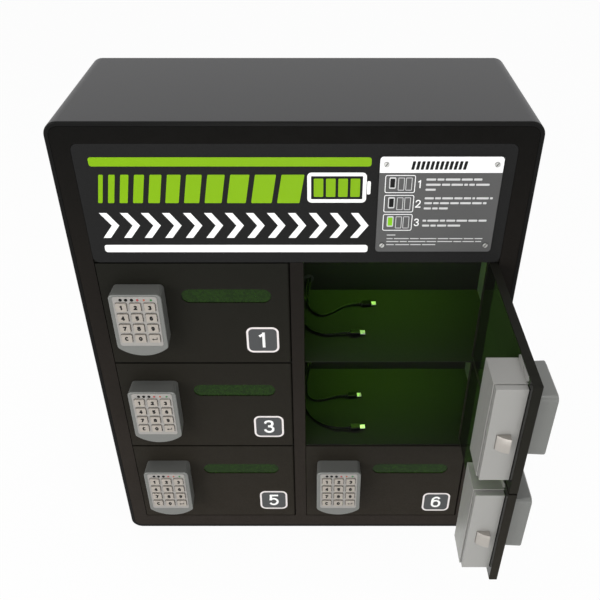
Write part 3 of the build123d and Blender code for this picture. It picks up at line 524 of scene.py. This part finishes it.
# Strokes of each figure, one unit high: a smooth one bends through its points, a straight one
# joins two points, and a closed one comes back to its start. Each stroke lies a little higher
# than the one before it, so that no two of their faces fall together.
STROKE_LIFT = 0.02
FIGURES = {
    "0": [("closed", ((0, 0.5), (0.27, 0.22), (0.27, -0.22), (0, -0.5), (-0.27, -0.22),
                      (-0.27, 0.22)))],
    "1": [("straight", ((-0.14, 0.32), (0.04, 0.44))), ("straight", ((0.06, 0.5), (0.06, -0.5)))],
    "2": [
        ("smooth", ((-0.27, 0.22), (-0.19, 0.42), (0, 0.5), (0.2, 0.42), (0.27, 0.22),
                    (0.12, -0.06), (-0.27, -0.48))),
        ("straight", ((-0.3, -0.5), (0.29, -0.5))),
    ],
    "3": [
        ("smooth", ((-0.27, 0.29), (-0.17, 0.45), (0.02, 0.5), (0.2, 0.42), (0.24, 0.24),
                    (0.14, 0.07), (-0.06, 0.03))),
        ("smooth", ((-0.06, 0.03), (0.18, -0.04), (0.28, -0.22), (0.2, -0.43), (0, -0.5),
                    (-0.19, -0.43), (-0.28, -0.26))),
    ],
    "4": [
        ("straight", ((0.1, 0.46), (-0.28, -0.2))), ("straight", ((-0.28, -0.22), (0.28, -0.22))),
        ("straight", ((0.12, 0.5), (0.12, -0.5))),
    ],
    "5": [
        ("straight", ((0.25, 0.5), (-0.2, 0.5))), ("straight", ((-0.18, 0.48), (-0.23, 0.06))),
        ("smooth", ((-0.24, 0.0), (-0.09, 0.13), (0.12, 0.11), (0.26, -0.05), (0.26, -0.28),
                    (0.12, -0.46), (-0.1, -0.48), (-0.27, -0.33))),
    ],
    "6": [
        ("smooth", ((0.24, 0.33), (0.15, 0.45), (0.01, 0.5), (-0.17, 0.41), (-0.26, 0.18),
                    (-0.27, -0.12))),
        ("closed", ((-0.27, -0.18), (-0.2, 0.05), (0, 0.14), (0.2, 0.05), (0.27, -0.18),
                    (0.2, -0.42), (0, -0.5), (-0.2, -0.42))),
    ],
    "7": [("straight", ((-0.27, 0.5), (0.27, 0.5))), ("straight", ((0.27, 0.48), (-0.1, -0.48)))],
    "8": [
        ("closed", ((0, 0.5), (0.22, 0.4), (0.22, 0.16), (0, 0.05), (-0.22, 0.16), (-0.22, 0.4))),
        ("closed", ((0, 0.05), (0.27, -0.08), (0.27, -0.38), (0, -0.5), (-0.27, -0.38),
                    (-0.27, -0.08))),
    ],
    "C": [("smooth", ((0.27, 0.26), (0.17, 0.44), (0, 0.5), (-0.23, 0.35), (-0.3, 0),
                      (-0.23, -0.35), (0, -0.5), (0.17, -0.44), (0.27, -0.26)))],
}
FIGURES["9"] = [(kind, tuple((-x, -y) for x, y in path)) for kind, path in FIGURES["6"]]


def add_figure(shape, figure, height, centre, thick, stroke):
    """Adds a figure to a bmesh: a flat nib is drawn along its strokes. Sizes in millimetres."""
    nib = bpy.data.curves.new("nib", "CURVE")
    corners = nib.splines.new("POLY")
    corners.points.add(3)
    for corner, place in zip(corners.points, rectangle((-stroke / 2, stroke / 2), (0, thick))):
        corner.co = (place[0] * MM, place[1] * MM, 0, 1)
    corners.use_cyclic_u = True
    nib_object = bpy.data.objects.new("nib", nib)
    line = bpy.data.curves.new("figure", "CURVE")
    line.dimensions = "3D"
    line.twist_mode = "Z_UP"
    line.bevel_mode = "OBJECT"
    line.bevel_object = nib_object
    line.use_fill_caps = True
    line.resolution_u = 6
    unit = height - stroke
    for order, (kind, path) in enumerate(FIGURES[figure]):
        if kind == "straight":
            ends = [Vector(end) for end in path]
            cap = (ends[1] - ends[0]).normalized() * stroke / 2 / unit
            path = (ends[0] - cap, ends[1] + cap)
        spline = line.splines.new("BEZIER")
        spline.bezier_points.add(len(path) - 1)
        spline.use_cyclic_u = kind == "closed"
        for point, (x, y) in zip(spline.bezier_points, path):
            place = (centre[0] + x * unit, centre[1] + y * unit, order * STROKE_LIFT)
            point.co = Vector(place) * MM
            point.handle_left_type = "VECTOR" if kind == "straight" else "AUTO"
            point.handle_right_type = point.handle_left_type
    written = bpy.data.objects.new("figure", line)
    for used in (nib_object, written):
        bpy.context.scene.collection.objects.link(used)
    bpy.context.view_layer.update()
    seen = written.evaluated_get(bpy.context.evaluated_depsgraph_get())
    mesh = bpy.data.meshes.new_from_object(seen)
    for used in (nib_object, written):
        bpy.data.objects.remove(used)
    shape.from_mesh(mesh)
    bpy.data.meshes.remove(mesh)


BAND_LOW = 603.2
BAND_INSET = 0.2
PLATE_CORNER = 4.0
CORNER_STEPS = 6
band = [(PLATE_X[0] + BAND_INSET, BAND_LOW), (PLATE_X[1] - BAND_INSET, BAND_LOW)]
reach = PLATE_CORNER - BAND_INSET
for start, centre_x in ((0, PLATE_X[1] - PLATE_CORNER), (math.pi / 2, PLATE_X[0] + PLATE_CORNER)):
    for step in range(CORNER_STEPS + 1):
        angle = start + math.pi / 2 * step / CORNER_STEPS
        rise = PLATE_Z[1] - PLATE_CORNER + reach * math.sin(angle)
        band.append((centre_x + reach * math.cos(angle), rise))
shape = bmesh.new()
flat_shape(shape, band, INK_THICK)
new_piece("plate_title_band", on_front(shape, PLATE_OUT), inks["white"], "cabinet")

TITLE_X = 126.0
TITLE_Z = (606.9, 616.7)
TITLE_STROKES = 12
TITLE_STROKE = 3.3
TITLE_PITCH = 5.1
TITLE_SLANT = 1.6
TITLE_CORNER = 0.7
shape = bmesh.new()
for stroke in range(TITLE_STROKES):
    x = TITLE_X + stroke * TITLE_PITCH
    corners = rectangle((x, x + TITLE_STROKE), TITLE_Z, TITLE_SLANT)
    flat_shape(shape, corners, INK_THICK, TITLE_CORNER, bottom=INK_THICK)
new_piece("plate_title", on_front(shape, PLATE_OUT), inks["black"], "cabinet")

SIGN_X = (98.7, 132.0)
SIGN_ROWS = ((579.2, 600.5), (555.2, 576.6), (531.8, 552.9))
SIGN_WALL = 0.8
SIGN_CORNER = 2.2
# In each sign, from its left edge, and how far below and above they leave free: a phone, its
# screen and two doors.
PHONE_X = (4.6, 12.0)
PHONE_FREE = (5.0, 2.6)
PHONE_CORNER = 1.4
SCREEN_X = (5.7, 10.9)
SCREEN_FREE = (6.6, 4.2)
SCREEN_CORNER = 0.6
SIGN_DOORS_X = ((14.4, 21.4), (22.8, 29.8))
SIGN_DOOR_FREE = (3.0, 3.0)
SIGN_DOOR_WALL = 0.7
SIGN_DOOR_CORNER = 0.8
STEP_X = 136.9
STEP_HEIGHT = 9.6
STEP_STROKE = 1.3
LINE_X = 143.8
LINE_HEIGHT = 2.4
LINE_ROUND = 0.3
WORD_GAP = 1.5
# Height of each line of print and the lengths of its words.
STEP_LINES = (
    (595.3, (10.5, 7.5, 16.0, 12.0, 9.0)), (589.1, (16.0, 9.0, 12.5, 4.0, 6.0, 14.8)),
    (583.1, (11.1,)), (572.6, (10.0, 6.5, 12.0, 9.0, 8.0, 3.0, 13.6, 3.0)),
    (566.6, (8.5, 6.0, 10.0, 9.5, 12.0, 10.5, 3.9)), (560.1, (8.0, 6.0, 9.9)),
    (544.6, (4.0, 12.5, 6.0, 10.0, 12.0, 10.0, 9.0)), (538.3, (8.0, 6.0, 10.5, 14.4)),
)
NOTE_X = 104.3
NOTE_HEIGHT = 1.1
NOTE_LINES = (
    (526.0, (9.9,)), (521.3, (7.0, 17.0, 10.0, 19.0, 12.0, 15.0, 11.0, 9.0)),
    (517.4, (14.0, 8.0, 20.0, 11.0, 17.0, 9.0, 13.0, 7.0)), (513.3, (9.0, 16.0, 12.0, 15.4)),
)
prints = {tone: bmesh.new() for tone in inks}


def small_print(shape, x, z, words, height):
    """Row of dashes, one for each word, that stands for a line of small print."""
    for length in words:
        dash = rectangle((x, x + length), (z - height / 2, z + height / 2))
        flat_shape(shape, dash, INK_THICK, height * LINE_ROUND)
        x += length + WORD_GAP


def in_sign(row, x, free):
    """Limits in x and z of a mark in the sign of one row."""
    low, high = row
    return (SIGN_X[0] + x[0], SIGN_X[0] + x[1]), (low + free[0], high - free[1])


for step, row in enumerate(SIGN_ROWS, 1):
    ring_shape(prints["white"], SIGN_X, row, SIGN_WALL, INK_THICK, SIGN_CORNER)
    middle = (STEP_X, sum(row) / 2)
    add_figure(prints["white"], str(step), STEP_HEIGHT, middle, INK_THICK, STEP_STROKE)
    phone = rectangle(*in_sign(row, PHONE_X, PHONE_FREE))
    flat_shape(prints["pale"], phone, INK_THICK, PHONE_CORNER)
    screen = rectangle(*in_sign(row, SCREEN_X, SCREEN_FREE))
    screen_print = prints["green"] if step == len(SIGN_ROWS) else prints["black"]
    flat_shape(screen_print, screen, INK_THICK, SCREEN_CORNER, bottom=INK_THICK)
    for door_x in SIGN_DOORS_X:
        x, z = in_sign(row, door_x, SIGN_DOOR_FREE)
        ring_shape(prints["pale"], x, z, SIGN_DOOR_WALL, INK_THICK, SIGN_DOOR_CORNER)
for z, words in STEP_LINES:
    small_print(prints["pale"], LINE_X, z, words, LINE_HEIGHT)
for z, words in NOTE_LINES:
    small_print(prints["pale"], NOTE_X, z, words, NOTE_HEIGHT)
for tone, shape in prints.items():
    new_piece(
        f"plate_print_{tone}", on_front(shape, PLATE_OUT), inks[tone], "cabinet"
    )


# ---- bays ----
# Black sheet steel behind the doors: shelves with folded flanges, a divider down the middle
# and a wall behind, with a rubber cable grommet in each bay.
bay_coat = finish_of("bay_coat", (32, 32, 30), 0.6, Specular_IOR_Level=0.03)
vary(bay_coat, "Roughness", pattern(bay_coat, 300), 0.54, 0.66)
add_grain(bay_coat, pattern(bay_coat, 1200), 0.00006)
for name in ("bay_shelves", "bay_divider", "bay_back_wall"):
    dress(nodes[name], bay_coat)
grommet_rubber = finish_of("grommet_rubber", (24, 24, 24), 0.6)
vary(grommet_rubber, "Roughness", pattern(grommet_rubber, 300), 0.54, 0.68)
add_grain(grommet_rubber, pattern(grommet_rubber, 2000), 0.00004)
dress(nodes["cable_grommets"], grommet_rubber)


# ---- light strips ----
# A green light strip under the ceiling of each bay, in a cover that shades its front side and
# throws the light down and back.
STRIP_Y = (40.5, 46.0)
UNLIT = (0, 0, 0, 1)
GREEN_LIGHT = (0.4, 1.0, 0.09, 1)
strip_glow = finish_of("strip_glow", (150, 240, 70), 0.4, Emission_Strength=160.0)
by_place(strip_glow, "Y", *STRIP_Y, UNLIT, GREEN_LIGHT, "Emission Color")
add_grain(strip_glow, pattern(strip_glow, 800), 0.00004)
dress(nodes["led_strips"], strip_glow)


# ---- charging hub ----
# A black plastic power supply box in the space behind the header, with its appliance inlet
# in the back panel.
hub_plastic = finish_of("hub_plastic", (30, 30, 31), 0.55)
vary(hub_plastic, "Roughness", pattern(hub_plastic, 150), 0.5, 0.62)
add_grain(hub_plastic, pattern(hub_plastic, 1500), 0.00008)
dress(nodes["charging_hub"], hub_plastic)


# ---- doors ----
# Folded steel pans on hinge pins, each with a number badge of white and grey vinyl. Their coat
# is darkened towards the top by painted shade. Its smoked acrylic liner has a lens that fills the
# window slot, and black bands of painted shade along its hinge side and its free side.
LEVELS = {1: 334.2, 2: 334.2, 3: 180.7, 4: 180.7, 5: 27.2, 6: 27.2}
HINGE_X = {"left": -13.9, "right": 233.9, "open": 233.9}
HINGE_SETBACK = 4.7
PINS_TO_FREE_EDGE = 225.2
# Painted shade: the door coat darkens from its own tone at the foot to this tone higher up.
DOOR_PAINTED_SHADE_Z = (0.0, 500.0)
DOOR_TOP_PAINTED_SHADE = (25, 25, 21)
door_coat = textured_coat("door_coat", (38, 34, 29), (44, 40, 34))
by_place(door_coat, "Z", *DOOR_PAINTED_SHADE_Z, None, linear(*DOOR_TOP_PAINTED_SHADE))

# Shut leaves hang in the left or right column; the open ones stand out of the right column.
# For each way: the axis out of the leaf, the outer face's place on it and whether out is plus
# or minus, then the axis along the leaf and the hinge pins' place on it.
LEAF_WAY = {1: "left", 2: "open", 3: "left", 4: "open", 5: "left", 6: "right"}
WAYS = {
    "left": ("Y", FRONT_Y, -1, "X", HINGE_X["left"]),
    "right": ("Y", FRONT_Y, -1, "X", HINGE_X["right"]),
    "open": ("X", HINGE_X["open"] + HINGE_SETBACK, 1, "Y", FRONT_Y + HINGE_SETBACK),
}
LENS_GREEN = (25, 48, 6)
LENS_DARK = (19, 40, 4)
LENS_LIGHT = (29, 55, 7)
SHEET_SMOKE = (36, 52, 25)
SHEET_DEPTH = (3.0, 4.0)
# Painted shade on the liner: black bands, this far in from the hinge pins and from the free edge.
LINER_PAINTED_SHADE = (20, 20, 18)
SHADE_FROM_HINGE = 38.0
SHADE_FROM_FREE_EDGE = 12.0
SHADE_BLUR = 0.5
acrylics = {}
for way, (axis, outer, outward, along, hinge) in WAYS.items():
    acrylic = finish_of(
        f"smoked_acrylic_{way}", LENS_GREEN, 0.06, Transmission_Weight=0.2,
        Specular_IOR_Level=0.05,
    )
    lens_pattern = pattern(acrylic, 260, 3.0)
    vary(acrylic, "Base Color", lens_pattern, linear(*LENS_DARK), linear(*LENS_LIGHT))
    vary(acrylic, "Roughness", pattern(acrylic, 60), 0.04, 0.08)
    shader = acrylic.node_tree.nodes["Principled BSDF"]
    lens_tone = shader.inputs["Base Color"].links[0].from_socket
    smoke, black = linear(*SHEET_SMOKE), linear(*LINER_PAINTED_SHADE)
    shade_line = hinge - SHADE_FROM_HINGE
    by_place(acrylic, along, shade_line - SHADE_BLUR, shade_line + SHADE_BLUR, smoke, black)
    shade_line = hinge - PINS_TO_FREE_EDGE + SHADE_FROM_FREE_EDGE
    by_place(acrylic, along, shade_line + SHADE_BLUR, shade_line - SHADE_BLUR, None, black)
    sheet_start = [outer - outward * depth for depth in SHEET_DEPTH]
    by_place(acrylic, axis, *sheet_start, lens_tone, None)
    acrylics[way] = acrylic
pin_steel = finish_of("pin_steel", (150, 150, 148), 0.35, Metallic=1.0)
vary(pin_steel, "Roughness", pattern(pin_steel, 800), 0.28, 0.42)
dress(nodes["hinge_pins"], pin_steel)


def leaf_place(number):
    """Matrix from a leaf's own frame, with x towards its hinge edge, y up and z out of it.

    The frame starts on the leaf's outer face, over the hinge pins, at the foot of the opening.
    """
    way = LEAF_WAY[number]
    turn = math.pi / 2 if way == "open" else 0.0
    outward = Vector((math.sin(turn), -math.cos(turn), 0))
    along = Vector((math.cos(turn), math.sin(turn), 0))
    hinge = Vector((HINGE_X[way], FRONT_Y + HINGE_SETBACK, LEVELS[number])) * MM
    origin = hinge + outward * HINGE_SETBACK * MM
    return Matrix((
        (along.x, 0, outward.x, origin.x),
        (along.y, 0, outward.y, origin.y),
        (0, 1, 0, origin.z),
        (0, 0, 0, 1),
    ))


def on_leaf(shape, number, out):
    """Moves a flat shape onto a leaf, out millimetres before its outer face."""
    place = leaf_place(number) @ Matrix.Translation((0, 0, out * MM))
    bmesh.ops.transform(shape, matrix=place, verts=shape.verts)
    bmesh.ops.recalc_face_normals(shape, faces=shape.faces)
    return shape


BADGE_CENTRES = {
    1: (-30.8, 37.9), 2: (-29.0, 37.5), 3: (-28.7, 38.1),
    4: (-29.0, 37.5), 5: (-27.3, 36.2), 6: (-27.7, 31.8),
}
BADGE_SIZE = (41.2, 40.4)
BADGE_RADIUS = 8.5
BADGE_BORDER = 2.6
BADGE_TUCK = 0.1
BADGE_FIGURE = 24.0
BADGE_STROKE = 3.5


def badge_film(name, colour, gloss):
    """Printed film of a badge, satin."""
    film = finish_of(name, colour, 0.42, Specular_IOR_Level=gloss)
    vary(film, "Roughness", pattern(film, 200), 0.36, 0.48)
    add_grain(film, pattern(film, 1500), 0.00002)
    return film


badge_border = badge_film("badge_border", (222, 215, 214), 0.3)
badge_grey = badge_film("badge_grey", (72, 73, 74), 0.15)
for number in LEVELS:
    dress(nodes[f"door_{number}"], door_coat)
    dress(nodes[f"door_liner_{number}"], acrylics[LEAF_WAY[number]])
    middle = BADGE_CENTRES[number]
    x, z = [(place - size / 2, place + size / 2) for place, size in zip(middle, BADGE_SIZE)]
    border, digit, grey = bmesh.new(), bmesh.new(), bmesh.new()
    ring_shape(border, x, z, BADGE_BORDER, VINYL_THICK, BADGE_RADIUS)
    add_figure(digit, str(number), BADGE_FIGURE, middle, VINYL_THICK, BADGE_STROKE)
    inset = BADGE_BORDER - BADGE_TUCK
    inside = rectangle((x[0] + inset, x[1] - inset), (z[0] + inset, z[1] - inset))
    flat_shape(grey, inside, VINYL_THICK / 2, BADGE_RADIUS - inset)
    for part, shape, film in (
        ("border", border, badge_border), ("digit", digit, white_vinyl), ("grey", grey, badge_grey),
    ):
        placed = on_leaf(shape, number, 0)
        new_piece(f"badge_{part}_{number}", placed, film, f"door_{number}_leaf")


# ---- keypads ----
# A silver plastic housing with a raised panel and a silicone key mat. The keys carry black
# figures; above them are six small lamps.
KEYPAD_X = -178.0
KEYPAD_OUT = 25.0
PANEL_PROUD = 0.6
KEY_PROUD = 2.0
KEY_BLOCK_UP = 84.25
KEY_FIGURE = 6.2
KEY_STROKE = 1.8
KEY_PITCH = (17.1, 15.5)
LEGENDS = ("123", "456", "789", "C0↵")
# The enter sign's stem, hook and arrow head, from the middle of its key.
ENTER_SIGN = (
    rectangle((-1.2, 3.4), (-1.3, -0.4)),
    rectangle((2.5, 3.4), (-0.4, 2.0)),
    [(-1.2, -2.4), (-1.2, 0.7), (-3.6, -0.85)],
)
LAMP_UP = 117.3
LAMP_HEIGHT = 0.4
LAMP_TAPER = 0.8
LAMP_RADIUS = {"dark": 2.1, "red": 1.5, "orange": 1.3, "green": 1.5}
LAMPS = (
    (-17.0, "dark"), (-10.4, "dark"), (-3.5, "dark"), (3.4, "red"), (11.0, "orange"),
    (19.5, "green"),
)
BODY_SILVER = (112, 113, 110)
PANEL_SILVER = (150, 147, 143)
PANEL_TONE_FROM = (0.2, 0.6)
keypad_finishes = {}
for way, (axis, outer, outward, _, _) in WAYS.items():
    silver = finish_of(f"keypad_silver_{way}", BODY_SILVER, 0.4, Metallic=0.3)
    vary(silver, "Roughness", pattern(silver, 150), 0.34, 0.46)
    add_grain(silver, pattern(silver, 1800), 0.00004)
    rise = [KEYPAD_OUT + PANEL_PROUD * share for share in PANEL_TONE_FROM]
    panel_start = [outer + outward * out for out in rise]
    by_place(silver, axis, *panel_start, linear(*BODY_SILVER), linear(*PANEL_SILVER))
    keypad_finishes[way] = silver
key_silicone = finish_of("key_silicone", (157, 150, 142), 0.6, Specular_IOR_Level=0.25)
vary(key_silicone, "Roughness", pattern(key_silicone, 200), 0.54, 0.68)
add_grain(key_silicone, pattern(key_silicone, 2500), 0.00003)
lamp_finishes = {
    "dark": finish_of("lamp_dark", (5, 5, 5), 0.4, Specular_IOR_Level=0.1),
    "red": finish_of("lamp_red", (150, 42, 46), 0.3),
    "orange": finish_of("lamp_orange", (160, 70, 36), 0.3),
    "green": finish_of("lamp_green", (36, 105, 50), 0.3),
}
for number in LEVELS:
    dress(nodes[f"keypad_case_{number}"], keypad_finishes[LEAF_WAY[number]])
    dress(nodes[f"keypad_keys_{number}"], key_silicone)
    shape = bmesh.new()
    for row, legends in enumerate(LEGENDS):
        for column, legend in enumerate(legends):
            x = KEYPAD_X + (column - 1) * KEY_PITCH[0]
            z = KEY_BLOCK_UP + ((len(LEGENDS) - 1) / 2 - row) * KEY_PITCH[1]
            if legend == "↵":
                for corners in ENTER_SIGN:
                    flat_shape(shape, [(x + across, z + up) for across, up in corners], INK_THICK)
            else:
                add_figure(shape, legend, KEY_FIGURE, (x, z), INK_THICK, KEY_STROKE)
    placed = on_leaf(shape, number, KEYPAD_OUT + PANEL_PROUD + KEY_PROUD)
    new_piece(f"key_figures_{number}", placed, inks["black"], f"keys_{number}")
    for order, (offset, lamp) in enumerate(LAMPS, 1):
        shape = bmesh.new()
        seat = Vector((KEYPAD_X + offset, LAMP_UP, LAMP_HEIGHT / 2)) * MM
        radius = LAMP_RADIUS[lamp] * MM
        bmesh.ops.create_cone(
            shape, cap_ends=True, segments=20, radius1=radius, radius2=LAMP_TAPER * radius,
            depth=LAMP_HEIGHT * MM, matrix=Matrix.Translation(seat),
        )
        placed = on_leaf(shape, number, KEYPAD_OUT + PANEL_PROUD)
        new_piece(
            f"lamp_{number}_{order}", placed, lamp_finishes[lamp], f"door_{number}_leaf",
        )


# ---- locks ----
# Plated sheet housings on the inside of the leaves, open towards the door's edge, where the
# lock body fills them. A bevelled steel bolt slides out of each body.
def brushed(name, colour, low, high, stretch, metallic):
    """Satin plating with fine parallel scratches."""
    metal = finish_of(name, colour, low, Metallic=metallic)
    vary(metal, "Roughness", pattern(metal, 500, 3.0, stretch), low, high)
    add_grain(metal, pattern(metal, 1500, 1.0, stretch), 0.000003)
    return metal


SHARP_FROM = 35.0
JOIN_WITHIN = 0.01


def soften(node, width):
    """Rounds the edges of a node a little, so that they catch the light."""
    weld = node.modifiers.new("joined", "WELD")
    weld.merge_threshold = JOIN_WITHIN * MM
    bevel = node.modifiers.new("soft_edges", "BEVEL")
    bevel.width = width * MM
    bevel.segments = 2
    bevel.limit_method = "ANGLE"
    bevel.angle_limit = math.radians(SHARP_FROM)
    bevel.harden_normals = True


lock_plating = brushed("lock_plating", (143, 142, 139), 0.32, 0.42, (1, 1, 0.1), 0.2)
bolt_steel = brushed("bolt_steel", (160, 155, 149), 0.3, 0.42, (0.1, 0.1, 1), 0.5)
LOCK_FINISHES = {
    "lock_case": (lock_plating, 0.15), "lock_body": (lock_plating, 0.35),
    "lock_bolt": (bolt_steel, 0.35),
}
for number in LEVELS:
    for name, (metal, edge) in LOCK_FINISHES.items():
        dress(nodes[f"{name}_{number}"], metal)
        soften(nodes[f"{name}_{number}"], edge)


# ---- studio ----
# A pale floor and surroundings that show as white to the camera and in gloss, while the floor
# keeps the cabinet's soft shadow, and four soft lamps.
FLOOR_SHARE = 0.95
FLOOR_REACH = 4.0
SKY_STRENGTH = 0.5
WHITE_STRENGTH = 1.0


def seen_rays(tree, share):
    """Socket that is share for rays from the camera, a gloss or a clear piece, or else 0."""
    rays = tree.nodes.new("ShaderNodeLightPath")
    total = rays.outputs["Is Camera Ray"]
    for name in ("Is Glossy Ray", "Is Transmission Ray"):
        either = tree.nodes.new("ShaderNodeMath")
        either.operation = "MAXIMUM"
        tree.links.new(total, either.inputs[0])
        tree.links.new(rays.outputs[name], either.inputs[1])
        total = either.outputs["Value"]
    part = tree.nodes.new("ShaderNodeMath")
    part.operation = "MULTIPLY"
    part.inputs[1].default_value = share
    tree.links.new(total, part.inputs[0])
    return part.outputs["Value"]


floor_paint = finish_of("floor_paint", (238, 238, 237), 0.7, Specular_IOR_Level=0.1)
tree = floor_paint.node_tree
white = tree.nodes.new("ShaderNodeEmission")
white.inputs["Strength"].default_value = WHITE_STRENGTH
mix = tree.nodes.new("ShaderNodeMixShader")
tree.links.new(seen_rays(tree, FLOOR_SHARE), mix.inputs["Fac"])
tree.links.new(tree.nodes["Principled BSDF"].outputs["BSDF"], mix.inputs[1])
tree.links.new(white.outputs["Emission"], mix.inputs[2])
tree.links.new(mix.outputs["Shader"], tree.nodes["Material Output"].inputs["Surface"])
mesh = bpy.data.meshes.new("floor")
shape = bmesh.new()
bmesh.ops.create_grid(shape, x_segments=4, y_segments=4, size=FLOOR_REACH)
shape.to_mesh(mesh)
shape.free()
floor = bpy.data.objects.new("floor", mesh)
bpy.context.scene.collection.objects.link(floor)
mesh.materials.append(floor_paint)

world = bpy.data.worlds.new("studio")
bpy.context.scene.world = world
world.use_nodes = True
sky = world.node_tree
light = sky.nodes["Background"]
seen = sky.nodes.new("ShaderNodeBackground")
for background, strength in ((light, SKY_STRENGTH), (seen, WHITE_STRENGTH)):
    background.inputs["Color"].default_value = (1, 1, 1, 1)
    background.inputs["Strength"].default_value = strength
choose = sky.nodes.new("ShaderNodeMixShader")
sky.links.new(seen_rays(sky, 1.0), choose.inputs["Fac"])
sky.links.new(light.outputs["Background"], choose.inputs[1])
sky.links.new(seen.outputs["Background"], choose.inputs[2])
sky.links.new(choose.outputs["Shader"], sky.nodes["World Output"].inputs["Surface"])


def soft_lamp(name, place, aim, size, power):
    """Square area lamp that faces a point."""
    light = bpy.data.lights.new(name, "AREA")
    light.shape = "SQUARE"
    light.size = size
    light.energy = power
    lamp = bpy.data.objects.new(name, light)
    lamp.location = place
    lamp.rotation_euler = (Vector(aim) - Vector(place)).to_track_quat("-Z", "Y").to_euler()
    bpy.context.scene.collection.objects.link(lamp)


soft_lamp("key", (-1.75, -1.75, 0.95), (0, 0, 0.3), 1.4, 27.0)
soft_lamp("fill", (1.6, -1.8, 0.8), (0, 0, 0.3), 1.4, 11.0)
soft_lamp("low", (0.0, -1.0, 0.34), (0, -0.1, 0.02), 0.5, 2.0)
soft_lamp("top", (0.0, -0.15, 2.4), (0, 0, 0.5), 1.4, 16.0)

bpy.context.scene.view_settings.view_transform = "Standard"
